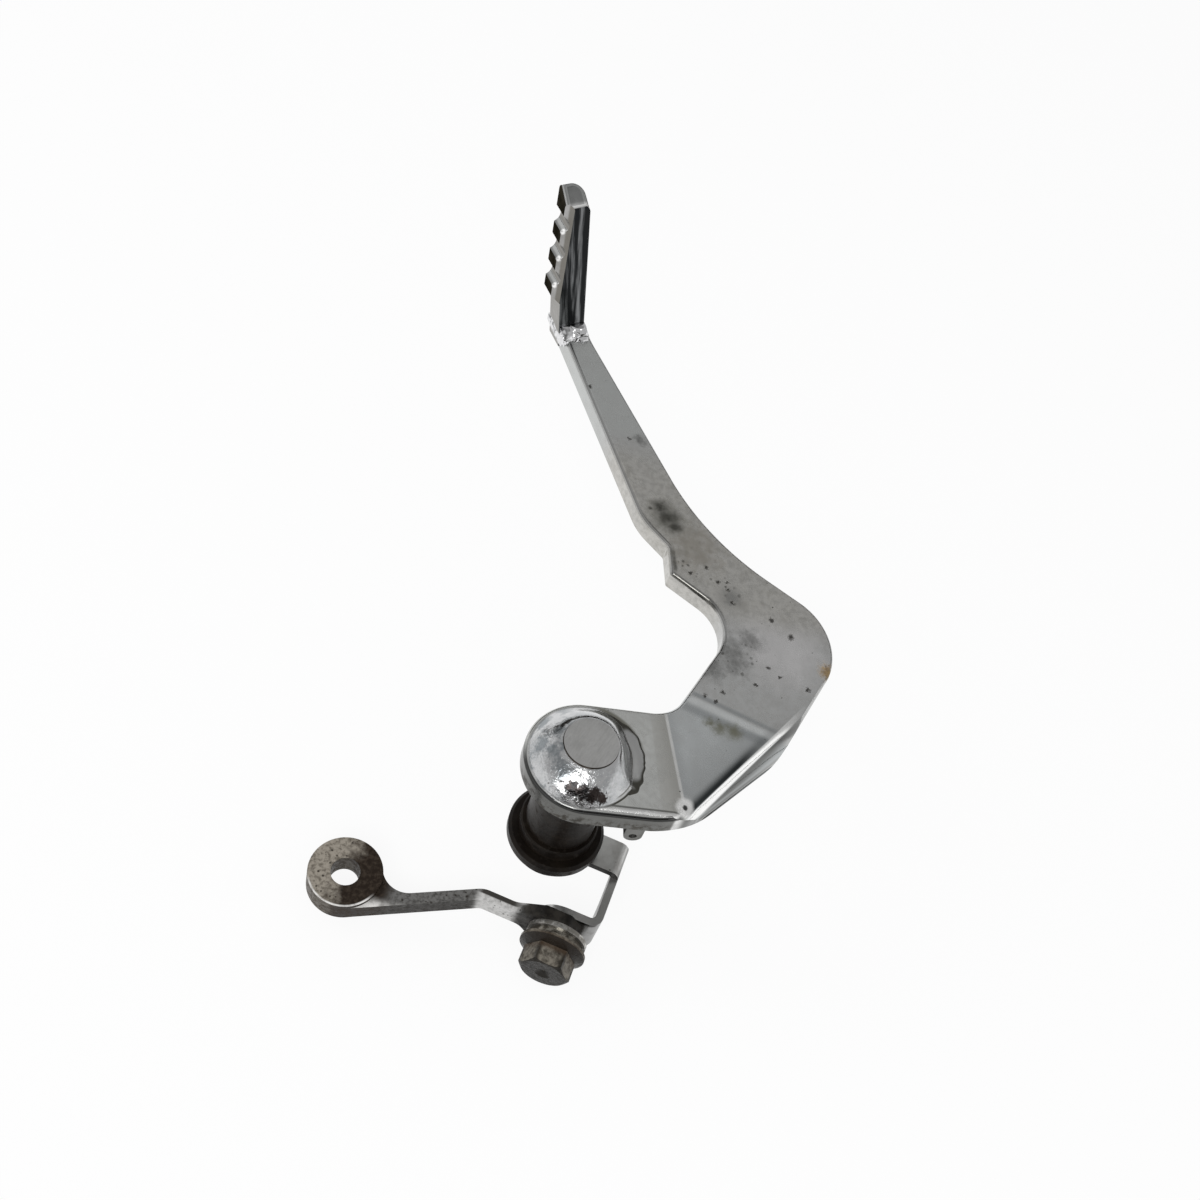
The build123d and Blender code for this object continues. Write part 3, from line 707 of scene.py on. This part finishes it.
def pad_chrome(crest_top):
    """Foot pad, toned as painted reflection by which way each face looks: dark crests and near face,
    brighter grooves, bevel and end, and painted highlights on the end's near edge and the teeth's corners.
    """
    finish, shader, where, normal = start_finish("pad_chrome", roughness=0.2, specular=0.0)
    haze = use(CLOUDS, where, Size_mm=5.0, Detail=6.0, Low=0.35, High=0.7)
    streak_at = put(where.id_data, "ShaderNodeCombineXYZ", {2: 0.0}, {
        0: times(project(where, PAD_TREAD), STREAKS_ACROSS),
        1: times(project(where, PAD_WAY), STREAKS_ALONG)})
    pale = soft_step(fractal(streak_at.outputs[0], 1.0, 4.0, 0.55), 0.46, 0.66)
    nearness = project(normal, -PAD_DEEP)
    bevel = both(within(nearness, 0.25, 0.5, 0.8, 0.92), turned_to(normal, PAD_WAY, 0.6, 0.4))
    crest_level = project(where, PAD_TREAD + PAD_TAPER * PAD_WAY)
    groove = both(soft_step(crest_level, *[crest_top - depth for depth in GROOVE_FADE]),
                  turned_to(normal, PAD_TREAD, 0.35, 0.6))
    crest = both(soft_step(crest_level, *[crest_top - depth for depth in CREST_FADE]),
                 turned_to(normal, PAD_TREAD, 0.75, 0.9))
    on_cap = turned_to(normal, PAD_WAY, 0.45, 0.6)
    cap_edge = both(on_cap, soft_step(across(where, (-PAD_DEEP, 0.0)), *CAP_EDGE_MM))
    gleams = most([spot(where, at, *PAD_GLEAM) for at in PAD_GLEAMS])
    # Painted reflections by face direction, and painted highlights
    colour = coats(layer(haze, PAD.chrome, PAD.chrome_hazed),
                   (soft_step(nearness, 0.72, 0.92), 1.0, layer(pale, PAD.film, PAD.reflection_streaked)),
                   (bevel, 1.0, layer(haze, PAD.bevel, PAD.bevel_hazed)), (groove, 0.85, PAD.groove),
                   (on_cap, 1.0, layer(haze, PAD.cap, PAD.cap_hazed)),
                   (crest, 1.0, layer(haze, PAD.crest, PAD.crest_reflection_hazed)),
                   (most([cap_edge, gleams]), 1.0, WHITE_GLEAM))
    rough = add_share(add_share(0.12, haze, 0.1), crest, 0.35)
    feed(shader, Base_Color=colour, Metallic=rest_of(crest), Roughness=rough)
    lift(shader, raw(use(CLOUDS, where, Size_mm=5.0, Detail=1.0)), 0.12)
    return finish


WELD_GRIT = (0.06, 0.055, 0.05)
WELD_SEAM = (0.02, 0.02, 0.018)
DOME = SimpleNamespace(
    chrome=(0.60, 0.605, 0.61), cloud=(0.40, 0.42, 0.43), drift=(0.20, 0.225, 0.24), run=(0.40, 0.40, 0.39),
    fold=(0.10, 0.095, 0.08), toe_shade=(0.05, 0.047, 0.035), reflection_black=(0.006, 0.005, 0.005),
    reflection_brown=(0.022, 0.012, 0.009)
)


def dome_chrome():
    """Plated weld dome: mirror grey, cloudy on the left, painted shade along its toe, strongest on the bar's
    side, and along the fold of its run, and a painted dark reflection on its near slope.
    """
    finish, shader, where, _ = start_finish("dome_chrome")
    cloud = use(CLOUDS, where, Size_mm=6.0, Detail=5.0, Low=0.42, High=0.66)
    drifts = use(CLOUDS, where, Size_mm=5.0, Detail=7.0, Low=0.46, High=0.60)
    grit = use(PITS, where, Space_mm=1.6, Share=0.08, Width=0.2)
    rise = across(where, UPWARDS)
    right = across(where, RIGHTWARDS)
    bar_side = soft_step(right, 3.0, 9.0)
    run_side = soft_step(right, 8.0, 10.0)
    left = both(soft_step(right, -3.0, -8.0), drifts)
    run = both(soft_step(rise, RUN_TOP_MM, RUN_TOP_MM - 0.2), run_side)
    # Painted shade along the run's fold and the dome's toe
    fold = both(stroke(less(rise, RUN_TOP_MM), 0.05, 0.2), run_side)
    toe = both(soft_step(rise, 0.62, 0.36), blend_value(bar_side, 0.35, 1.0))
    # Painted dark reflection, black with some brown
    reflection_black = layer(drifts, DOME.reflection_black, DOME.reflection_brown)
    colour = coats(DOME.chrome, (cloud, 0.5, DOME.cloud), (left, 0.75, DOME.drift), (run, 0.7, DOME.run),
                   (fold, 0.8, DOME.fold), (toe, 0.92, DOME.toe_shade), (grit, 0.6, WELD_GRIT),
                   (spots(where, DOME_DARK_REFLECTION), 0.95, reflection_black))
    rough = add_share(add_share(0.07, cloud, 0.08), bar_side, 0.10)
    feed(shader, Base_Color=colour, Roughness=add_share(rough, toe, 0.3))
    lumps = use(CLOUDS, where, Size_mm=3.0, Detail=6.0)
    low_left = soft_step(across(where, LOW_LEFT_LINE), 2.0, -6.0)
    lift(shader, times(raw(lumps), blend_value(low_left, 0.12, 1.0)), 0.42)
    return finish


def weld_chrome(name, tone, roughness, blob_mm):
    """Plated weld: bright run-together blobs, soot in patches, and dark lines in the seams between them."""
    finish, shader, where, _ = start_finish(name)
    soot = use(CLOUDS, where, Size_mm=3.2, Detail=5.0, Low=0.52, High=0.72)
    grit = use(PITS, where, Space_mm=1.1, Share=0.08, Width=0.25)
    blobs = put(where.id_data, "ShaderNodeTexVoronoi", {"Scale": MM_PER_M / blob_mm}, {"Vector": where},
                feature="DISTANCE_TO_EDGE").outputs["Distance"]
    broken = use(CLOUDS, where, Size_mm=2.4, Detail=3.0, Low=0.46, High=0.60)
    seam = both(soft_step(blobs, 0.10, 0.01), broken)
    colour = coats(tone, (soot, 0.6, darker(tone, 0.45)), (grit, 0.7, WELD_GRIT), (seam, 0.8, WELD_SEAM))
    feed(shader, Base_Color=colour, Roughness=add_share(roughness, soot, 0.15))
    swell = soft_step(blobs, -0.12, 0.45)
    lift(shader, less(swell, times(grit, 0.1)), 0.13 * blob_mm)
    return finish


SHAFT = SimpleNamespace(
    ground=(0.52, 0.52, 0.51), ground_hazed=(0.44, 0.44, 0.43), grinding=(0.40, 0.40, 0.395),
    fine_line=(0.80, 0.80, 0.80), barrel=(0.10, 0.085, 0.07)
)


def shaft_steel():
    """Bare shaft with a ground outer end."""
    finish, shader, where, normal = start_finish("shaft_steel")
    grinding = use(HAIRLINES, where, Turn=-1.05, Space_mm=1.1, Length_mm=14.0, Share=0.95)
    fine = use(HAIRLINES, where, Turn=-1.0, Space_mm=0.4, Length_mm=9.0, Share=0.8)
    haze = use(CLOUDS, where, Size_mm=5.0, Detail=5.0, Low=0.35, High=0.7)
    ground = coats(layer(haze, SHAFT.ground, SHAFT.ground_hazed), (grinding, 0.5, SHAFT.grinding),
                   (fine, 0.3, SHAFT.fine_line))
    colour = layer(turned_to(normal, UP, 0.4, 0.8), SHAFT.barrel, ground)
    feed(shader, Base_Color=colour, Roughness=add_share(0.24, raw(grinding), 0.25))
    lift(shader, raw(grinding), 0.06)
    return finish


SLEEVE = SimpleNamespace(
    black=(0.006, 0.0045, 0.0035), grease=(0.012, 0.009, 0.0065), ring=(0.022, 0.016, 0.012),
    dust=(0.035, 0.028, 0.022)
)


def sleeve_steel():
    """Brown-black greasy sleeve."""
    finish, shader, where, _ = start_finish("sleeve_steel", metallic=0.0, roughness=0.4, specular=0.10)
    grease = use(CLOUDS, where, Size_mm=7.0, Detail=6.0, Low=0.35, High=0.7)
    dust = use(CLOUDS, where, Size_mm=2.0, Detail=6.0, Low=0.52, High=0.75)
    ring_at = put(where.id_data, "ShaderNodeCombineXYZ", {0: 0.0, 1: 0.0}, {
        2: times(across(where, UPWARDS), 0.9)})
    rings = soft_step(fractal(ring_at.outputs[0], 1.0, 3.0), 0.55, 0.7)
    colour = coats(layer(grease, SLEEVE.black, SLEEVE.grease), (rings, 0.5, SLEEVE.ring),
                   (dust, 0.3, SLEEVE.dust))
    feed(shader, Base_Color=colour, Roughness=add_share(0.34, dust, 0.35))
    lift(shader, raw(dust), 0.10)
    return finish


SHEET_SPECK = (0.08, 0.07, 0.06)
SHEET_EDGE_SHADE = (0.010, 0.009, 0.008)


def plated_sheet(name, tone, soil, roughness=0.32, black_above=None):
    """Plated sheet steel with grey soil in patches, painted shade on its upright faces, and black painted
    shade on its near faces above a level in mm.
    """
    finish, shader, where, normal = start_finish(name)
    patch = use(CLOUDS, where, Size_mm=6.0, Detail=6.0, Low=0.42, High=0.72)
    specks = use(PITS, where, Space_mm=2.0, Share=0.12, Width=0.18)
    rub = use(HAIRLINES, where, Turn=0.3, Space_mm=0.5, Length_mm=8.0, Share=0.5)
    # Painted shade on the upright faces
    upright = turned_to(normal, UP, 0.75, 0.45)
    colour = coats(tone, (patch, 0.7, soil), (specks, 0.8, SHEET_SPECK), (upright, 0.8, darker(tone, 0.28)))
    if black_above is not None:
        # Black painted shade on the near faces above the level
        level = across(where, (UP, black_above))
        edge_shade = both(turned_to(normal, BOLT_WAY, 0.6, 0.85), soft_step(level, -1.0, 0.5))
        colour = layer(edge_shade, colour, SHEET_EDGE_SHADE)
    rough = add_share(add_share(roughness, patch, 0.2), rub, 0.1)
    feed(shader, Base_Color=colour, Roughness=rough)
    lift(shader, less(raw(patch), times(specks, 0.5)), 0.08)
    return finish


# Lever tones: the strap's lighter top and bent end, its bright near edge and the eye's gleam are painted
# light
LEVER = SimpleNamespace(
    strap=(0.024, 0.022, 0.019), strap_grime=(0.050, 0.047, 0.043), rubbed=(0.15, 0.148, 0.142),
    top_sheen_fine=(0.08, 0.078, 0.073), bend=(0.62, 0.615, 0.60), edge_highlight=(0.72, 0.715, 0.70),
    far_edge=(0.05, 0.047, 0.042), brown=(0.018, 0.012, 0.008), brown_fine=(0.042, 0.031, 0.022),
    lug=(0.010, 0.009, 0.008), lug_grime=(0.030, 0.027, 0.023), beige=(0.31, 0.28, 0.235),
    beige_fine=(0.13, 0.115, 0.092), speck=(0.025, 0.02, 0.015), gleam=(0.80, 0.79, 0.76)
)


def lever_steel():
    """Rod-eye lever: worn beige-grey eye, dark greasy strap and lug, brown rust, painted light on the
    strap's top and past its bend, and painted highlights along its near top edge and round the eye's rim.
    """
    finish, shader, where, normal = start_finish("lever_steel", metallic=0.0, roughness=0.5, specular=0.12)
    grime = use(CLOUDS, where, Size_mm=5.0, Detail=7.0, Low=0.40, High=0.62)
    fine = use(CLOUDS, where, Size_mm=1.4, Detail=6.0, Low=0.42, High=0.66)
    specks = use(PITS, where, Space_mm=1.5, Share=0.42, Width=0.26)
    run = across(where, (LEVER_WAY, 0.0))
    depth = across(where, (LEVER_BACK, 0.0))
    up = turned_to(normal, UP, 0.3, 0.8)

    # Painted light on the strap's top and past its bend, and painted highlights on its near top edge and the
    # eye's rim
    on_strap = within(run, *STRAP_MM)
    past_bend = within(run, *BEND_MM)
    pale = both(on_strap, blend_value(up, past_bend, 1.0), blend_value(fine, 1.0, 0.7))
    rubbed = layer(past_bend, layer(fine, LEVER.rubbed, LEVER.top_sheen_fine), LEVER.bend)
    edge_highlight = both(on_strap, up, soft_step(depth, *EDGE_HIGHLIGHT_MM), rest_of(past_bend))
    far_edge = both(up, past_bend, soft_step(depth, *FAR_EDGE_MM))
    wander = times(less(raw(grime), 0.5), EYE_WANDER_MM)
    worn = both(soft_step(plus(run, wander), *EYE_WORN_MM), blend_value(up, 0.30, 1.0))
    from_eye = put(where.id_data, "ShaderNodeVectorMath", {1: place(EYE_AT)}, {0: where},
                   operation="DISTANCE")
    rim = soft_step(times(from_eye.outputs["Value"], MM_PER_M), *EYE_RIM_MM)
    gleam = both(rim, up, soft_step(across(where, EYE_NEAR_LINE), *EYE_NEAR_MM),
                 blend_value(grime, 1.0, 0.3))
    colour = coats(layer(grime, LEVER.strap, LEVER.strap_grime), (pale, 1.0, rubbed),
                   (edge_highlight, 1.0, LEVER.edge_highlight), (far_edge, 1.0, LEVER.far_edge),
                   (soft_step(run, *EYE_MM), 1.0, layer(fine, LEVER.brown, LEVER.brown_fine)),
                   (soft_step(run, *LUG_MM), 1.0, layer(grime, LEVER.lug, LEVER.lug_grime)),
                   (worn, 1.0, layer(fine, LEVER.beige, LEVER.beige_fine)),
                   (specks, 0.85, LEVER.speck), (gleam, 1.0, LEVER.gleam))
    feed(shader, Base_Color=colour, Roughness=add_share(0.36, fine, 0.25))
    lift(shader, less(times(raw(fine), 0.8), times(specks, 0.6)), 0.22)
    return finish


BOLT = SimpleNamespace(
    steel=(0.028, 0.024, 0.019), rust=(0.013, 0.011, 0.008), dust=(0.22, 0.20, 0.165),
    dust_fine=(0.075, 0.066, 0.053), under_flange=(0.060, 0.038, 0.023), front=(0.007, 0.006, 0.005),
    speck=(0.015, 0.012, 0.009)
)


def bolt_steel():
    """Dark brown-grey bolt with pale dust on its flats, rust under its flange, and painted shade on its
    head's front face.
    """
    finish, shader, where, normal = start_finish("bolt_steel", metallic=0.0, roughness=0.4, specular=0.14)
    rust = use(CLOUDS, where, Size_mm=4.0, Detail=7.0, Low=0.38, High=0.66)
    fine = use(CLOUDS, where, Size_mm=1.3, Detail=6.0, Low=0.40, High=0.68)
    film = use(CLOUDS, where, Size_mm=6.0, Detail=5.0, Low=0.30, High=0.56)
    specks = use(PITS, where, Space_mm=1.5, Share=0.25, Width=0.22)
    depth = across(where, (LEVER_BACK, 0.0))
    aside = across(where, (LEVER_WAY, BOLT_X_MM))
    rise = across(where, (UP, BOLT_Z_MM))
    sixth = reckon("DIVIDE", reckon("ARCTAN2", rise, aside), math.pi / 3.0)
    corner = reckon("ABSOLUTE", less(reckon("FRACT", sixth), 0.5))
    edge = both(soft_step(depth, *HEXAGON_MM), soft_step(corner, 0.34, 0.47))
    up = turned_to(normal, UP, -0.1, 0.9)
    # The head's front face: painted shade, and almost no dust
    front = turned_to(normal, BOLT_WAY, 0.75, 0.92)
    dust = both(blend_value(up, 0.55, 0.95), film, blend_value(front, 1.0, 0.03),
                blend_value(edge, 1.0, 0.08))
    under = both(within(depth, *FLANGE_MM), up)
    colour = coats(layer(rust, BOLT.steel, BOLT.rust), (dust, 1.0, layer(fine, BOLT.dust, BOLT.dust_fine)),
                   (under, 0.75, BOLT.under_flange), (front, 0.7, BOLT.front), (specks, 0.6, BOLT.speck))
    rough = add_share(add_share(0.24, fine, 0.25), dust, 0.2)
    feed(shader, Base_Color=colour, Roughness=rough)
    lift(shader, less(raw(fine), times(specks, 0.5)), 0.18)
    return finish


WASHER_SPECK = (0.04, 0.03, 0.025)


def dark_washer(name, tone, bright):
    """Washer steel, dark with rubbed bright places."""
    finish, shader, where, _ = start_finish(name, metallic=0.8, roughness=0.4)
    rubbed = use(CLOUDS, where, Size_mm=2.6, Detail=6.0, Low=0.45, High=0.66)
    specks = use(PITS, where, Space_mm=1.4, Share=0.2, Width=0.22)
    colour = coats(tone, (rubbed, 1.0, bright), (specks, 0.7, WASHER_SPECK))
    feed(shader, Base_Color=colour, Roughness=less(0.5, times(rubbed, 0.2)))
    lift(shader, raw(rubbed), 0.10)
    return finish


def dress(piece, finish):
    """One material on a piece."""
    piece.data.materials.clear()
    piece.data.materials.append(finish)


def new_piece(name, mesh, finish, body, node):
    """A scene piece that stands for a solid and moves with its body."""
    piece = add_object(name, mesh)
    dress(piece, finish)
    for face in mesh.polygons:
        face.use_smooth = True
    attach(piece, body)
    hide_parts(node)


def bell(angle, centre, half_width, power=2):
    """A smooth swell round the dome at an angle in radians, with its middle and half width in degrees."""
    away = (math.degrees(angle) - centre + 180.0) % 360.0 - 180.0
    return math.exp(-(abs(away) / half_width) ** power)


def dome_lump(turn, out):
    """Unevenness of the plated dome, in mm, at a turn and a share of the way out."""
    at = Vector((math.cos(turn) * 2.2, math.sin(turn) * 2.2, out * 2.0))
    coarse = noise.noise(at)
    fine = noise.noise(at * 2.6 + Vector((5.0, 1.0, 3.0)))
    rough_side = 0.25 + 0.75 * bell(turn, *ROUGH_ARC)
    return (COARSE_LUMP_MM * coarse + FINE_LUMP_MM * fine) * rough_side * math.sin(math.pi * out) ** 0.7


def dome_height(turn, out):
    """Height share of the dome: a rounded cone low on the left, a soft bell towards the bar."""
    soft = 0.85 - 0.85 * bell(turn, *CONE_ARC)
    cone = 1.0 - 0.70 * out - 0.30 * out ** 4
    slope = (0.5 + 0.5 * math.cos(math.pi * out)) ** 0.8
    return (1.0 - soft) * cone + soft * slope


def dome_mesh():
    """Closed ring of plated weld: crown at the shaft, toe, and a flat run of weld on the bar's side."""
    work = bmesh.new()
    rings = [[] for row in range(DOME_RINGS + RUN_RINGS + 2)]
    for step in range(DOME_TURNS):
        turn = 2 * math.pi * step / DOME_TURNS
        ragged = RAGGED_MM * noise.noise(Vector((math.cos(turn) * 3.0, math.sin(turn) * 3.0, 9.0)))
        tongue = bell(turn, *RUN_ARC, power=4)
        hook = bell(turn, *HOOK_ARC)
        run_h = RUN_H * max(tongue, HOOK_H_SHARE * hook)
        low_left = bell(turn, *LOW_LEFT_ARC)
        sink = LOW_LEFT_SINK_MM * low_left
        toe = DOME_TOE + (ragged + LOW_LEFT_SPREAD_MM * low_left - RUN_SETBACK_MM * tongue) * MM
        column = []
        for row in range(DOME_RINGS + 1):
            out = 1.0 - (1.0 - row / DOME_RINGS) ** 1.5
            rise = DOME_H * dome_height(turn, out) + (dome_lump(turn, out) - sink * out ** 6) * MM
            column.append((SHAFT_R + (toe - SHAFT_R) * out, rise + run_h * out ** 3))
        drip = 1.0 + RUN_DRIP * noise.noise(Vector((turn * 5.0, 3.0, 1.0)))
        for row in range(1, RUN_RINGS + 1):
            out = row / RUN_RINGS
            reach = toe + (RUN_LIP + RUN_L * (tongue * drip + HOOK_L_SHARE * hook)) * out
            column.append((reach, run_h * math.sqrt(1.0 - out ** 2) - sink * MM))
        column.append((SHAFT_R, 0.0))
        for ring, (reach, rise) in zip(rings, column):
            ring.append(work.verts.new((reach * math.cos(turn), reach * math.sin(turn), rise)))
    for row, ring in enumerate(rings):
        upper = rings[(row + 1) % len(rings)]
        for step in range(DOME_TURNS):
            after = (step + 1) % DOME_TURNS
            work.faces.new((ring[step], ring[after], upper[after], upper[step]))
    bmesh.ops.recalc_face_normals(work, faces=work.faces)
    mesh = bpy.data.meshes.new("pivot_dome")
    work.to_mesh(mesh)
    work.free()
    return mesh


def bead_mesh(node, name, voxel_mm, lump_mm, grain_mm, flatten=None):
    """Lumpy weld bead grown from a bead solid, pressed flat on one side if a direction is given."""
    shape = add_object(name, nodes[node].data.copy())
    remesh = shape.modifiers.new("grain", "REMESH")
    remesh.mode = "VOXEL"
    remesh.voxel_size = voxel_mm * MM
    remesh.adaptivity = 0.0
    smooth = shape.modifiers.new("soft", "SMOOTH")
    smooth.factor = 0.5
    smooth.iterations = BEAD_SMOOTHING
    held = bpy.context.evaluated_depsgraph_get()
    mesh = bpy.data.meshes.new_from_object(shape.evaluated_get(held))
    bpy.data.objects.remove(shape)
    normals = [vertex.normal.copy() for vertex in mesh.vertices]
    for vertex, normal in zip(mesh.vertices, normals):
        at = vertex.co / (grain_mm * MM)
        swell = noise.noise(at) + 0.5 * noise.noise(at * 2.3)
        vertex.co += normal * swell * lump_mm * MM
    if flatten is not None:
        level = max(vertex.co.dot(flatten) for vertex in mesh.vertices) - BEAD_FLAT
        for vertex in mesh.vertices:
            over = max(0.0, vertex.co.dot(flatten) - level)
            vertex.co -= flatten * over * BEAD_PRESS
    low, high = cad_box
    for vertex in mesh.vertices:
        for axis in range(3):
            vertex.co[axis] = min(max(vertex.co[axis], low[axis]), high[axis])
    mesh.name = name
    return mesh


crest_top = max(v.co.dot(PAD_TREAD + PAD_TAPER * PAD_WAY) for v in nodes["foot_pad"].data.vertices)
FINISHES = {
    "pedal_arm": arm_chrome(),
    "foot_pad": pad_chrome(crest_top),
    "pad_weld": weld_chrome("weld_chrome", (0.78, 0.78, 0.79), roughness=0.08, blob_mm=4.6),
    "pivot_weld": dome_chrome(),
    "bracket_weld": weld_chrome("bracket_bead", (0.34, 0.33, 0.31), roughness=0.35, blob_mm=2.0),
    "pivot_shaft": shaft_steel(),
    "pivot_sleeve": sleeve_steel(),
    "thrust_washer": dark_washer("washer_steel", (0.05, 0.045, 0.04), (0.22, 0.20, 0.18)),
    "lever_bracket": plated_sheet("bracket_plated", (0.62, 0.62, 0.61), (0.40, 0.39, 0.37),
                                  black_above=BRACKET_BLACK_ABOVE_MM),
    "eye_lever": lever_steel(),
    "lever_bolt": bolt_steel(),
    "plain_washer": dark_washer("washer_plated", (0.22, 0.21, 0.19), (0.62, 0.61, 0.58)),
    "spring_washer": dark_washer("washer_dark", (0.09, 0.08, 0.065), (0.34, 0.32, 0.28)),
    "spring_tab": plated_sheet("tab_plated", (0.42, 0.42, 0.40), (0.20, 0.185, 0.165), roughness=0.4),
}
for name, finish in FINISHES.items():
    dress(nodes[name], finish)

# Pieces that show a solid's weld with its uneven skin
pad_bead = bead_mesh("pad_weld", "pad_bead", voxel_mm=0.30, lump_mm=0.35, grain_mm=3.6, flatten=PAD_TREAD)
bracket_bead = bead_mesh("bracket_weld", "bracket_bead", voxel_mm=0.32, lump_mm=0.16, grain_mm=1.6)
for name, mesh, slot, node in (("pivot_dome", dome_mesh(), "dome_chrome", "pivot_weld"),
                               ("pad_bead", pad_bead, "weld_chrome", "pad_weld"),
                               ("bracket_bead", bracket_bead, "bracket_bead", "bracket_weld")):
    new_piece(name, mesh, FINISHES[node], "pedal", node)


# Studio: pale floor, white surroundings under a grey ceiling, soft lamps
FLOOR_Z = cad_box[0][2] - 0.2 * MM
FLOOR_HALF = 6.0
# Dark cloths: name, first and last angle in degrees, lower and upper edge in metres
FLAG_R = 1.6
FLAG_STEP = 4.0
FLAG_TONE = (0.025, 0.02, 0.016)
FLAGS = [("near_flag", -122.0, -58.0, 0.26, 0.95), ("far_flag", 10.0, 130.0, 0.12, 0.60),
         ("skirting", 0.0, 360.0, FLOOR_Z, 0.005)]
# Paper of the floor, and the grey of the room that lights it
PAPER_TONE = (0.9, 0.9, 0.9, 1.0)
WHITE = (1.0, 1.0, 1.0, 1.0)
PAPER_GLOW = 0.9
ROOM_FILL = (0.62, 0.62, 0.63)
# Soft lamps: name, place in metres, width, height, power in watts, seen in mirrors
LAMPS = [("key_softbox", (-0.30, -0.78, 0.98), 0.55, 0.40, 6.0, True),
         ("side_softbox", (-1.05, 0.35, 0.75), 0.5, 0.5, 2.5, False)]
LAMP_AIM = (0.0, 0.05, 0.0)
# Camera's place in metres, and its directions
CAMERA_AT = (-0.0667, -0.1910, 0.3142)
CAMERA_RIGHT = (0.976, 0.0, 0.220)
CAMERA_AHEAD = (0.174, 0.610, -0.773)
LENS_MM = 39.0
SENSOR_MM = 36.0
# Shade of the surroundings by the height of the direction, from the horizon up
ROOM_SHADES = [(0.0, 1.0), (0.32, 1.0), (0.50, 0.48), (0.74, 0.44), (0.80, 0.47), (0.86, 0.62),
               (0.92, 0.5), (1.0, 0.2)]


def sees_backdrop(tree):
    """Camera, mirror and glass rays, which see the white backdrop itself."""
    path = tree.nodes.new("ShaderNodeLightPath").outputs
    seen = plus(path["Is Camera Ray"], path["Is Glossy Ray"])
    return plus(seen, path["Is Transmission Ray"], clamp=True)


def floor_finish():
    """White paper floor that still takes the pedal's shadow."""
    finish = bpy.data.materials.new("studio_floor")
    finish.use_nodes = True
    tree = finish.node_tree
    tree.nodes.remove(tree.nodes["Principled BSDF"])
    paper = put(tree, "ShaderNodeBsdfDiffuse", {"Color": PAPER_TONE})
    white = put(tree, "ShaderNodeEmission", {"Color": WHITE, "Strength": 1.0})
    share = times(sees_backdrop(tree), PAPER_GLOW)
    mixed = put(tree, "ShaderNodeMixShader", {}, {0: share, 1: paper.outputs[0], 2: white.outputs[0]})
    join(mixed.outputs[0], tree.nodes["Material Output"].inputs["Surface"])
    return finish


def studio_floor():
    corners = [(-FLOOR_HALF, -FLOOR_HALF, FLOOR_Z), (FLOOR_HALF, -FLOOR_HALF, FLOOR_Z),
               (FLOOR_HALF, FLOOR_HALF, FLOOR_Z), (-FLOOR_HALF, FLOOR_HALF, FLOOR_Z)]
    mesh = bpy.data.meshes.new("studio_floor")
    mesh.from_pydata(corners, [], [(0, 1, 2, 3)])
    mesh.materials.append(floor_finish())
    add_object("studio_floor", mesh)


def studio_flag(cloth, name, first, last, low, high):
    """Dark cloth that stands on an arc round the set and gives the chrome its dark lines."""
    steps = int((last - first) / FLAG_STEP)
    ring = []
    for level in (low, high):
        for step in range(steps + 1):
            turn = math.radians(first + (last - first) * step / steps)
            ring.append((FLAG_R * math.cos(turn), FLAG_R * math.sin(turn), level))
    faces = [(i, i + 1, i + steps + 2, i + steps + 1) for i in range(steps)]
    mesh = bpy.data.meshes.new(name)
    mesh.from_pydata(ring, [], faces)
    mesh.materials.append(cloth)
    flag = add_object(name, mesh)
    flag.visible_camera = False
    flag.visible_diffuse = False
    flag.visible_shadow = False


def flag_cloth():
    cloth, shader, _, _ = start_finish("flag_cloth", metallic=0.0, roughness=0.9)
    feed(shader, Base_Color=FLAG_TONE)
    return cloth


def studio_room():
    """White round the horizon, a grey ceiling above."""
    room = bpy.data.worlds.new("studio_room")
    bpy.context.scene.world = room
    room.use_nodes = True
    tree = room.node_tree
    back = tree.nodes["Background"]
    way = put(tree, "ShaderNodeTexCoord")
    split = put(tree, "ShaderNodeSeparateXYZ", {}, {0: way.outputs["Generated"]})
    seen = put(tree, "ShaderNodeValToRGB", {}, {0: split.outputs[2]})
    marks = seen.color_ramp.elements
    for height, shade in ROOM_SHADES:
        mark = marks[0] if height == 0.0 else marks[-1] if height == 1.0 else marks.new(height)
        mark.color = (shade, shade, shade, 1.0)
    feed(back, Color=layer(sees_backdrop(tree), ROOM_FILL, seen.outputs[0]), Strength=1.0)


def soft_lamp(name, at, wide, high, power, mirrored):
    """Soft box of light aimed at the pedal, hidden from mirror rays if it isn't mirrored."""
    lamp = bpy.data.lights.new(name, "AREA")
    lamp.shape = "RECTANGLE"
    lamp.size = wide
    lamp.size_y = high
    lamp.energy = power
    holder = add_object(name, lamp)
    holder.location = at
    holder.rotation_euler = (Vector(LAMP_AIM) - Vector(at)).to_track_quat("-Z", "Y").to_euler()
    holder.visible_glossy = mirrored


def photo_camera():
    """Camera at the photo's angle."""
    lens = bpy.data.cameras.new("photo_camera")
    lens.sensor_width = SENSOR_MM
    lens.lens = LENS_MM
    lens.clip_start = 0.01
    holder = add_object("photo_camera", lens)
    right = Vector(CAMERA_RIGHT).normalized()
    ahead = Vector(CAMERA_AHEAD).normalized()
    up = right.cross(ahead).normalized()
    right = ahead.cross(up).normalized()
    turn = Matrix((right, up, -ahead)).transposed().to_4x4()
    holder.matrix_world = Matrix.Translation(CAMERA_AT) @ turn
    bpy.context.scene.camera = holder


studio_floor()
dark_cloth = flag_cloth()
for flag in FLAGS:
    studio_flag(dark_cloth, *flag)
studio_room()
for lamp in LAMPS:
    soft_lamp(*lamp)
photo_camera()
bpy.context.scene.view_settings.view_transform = "Standard"
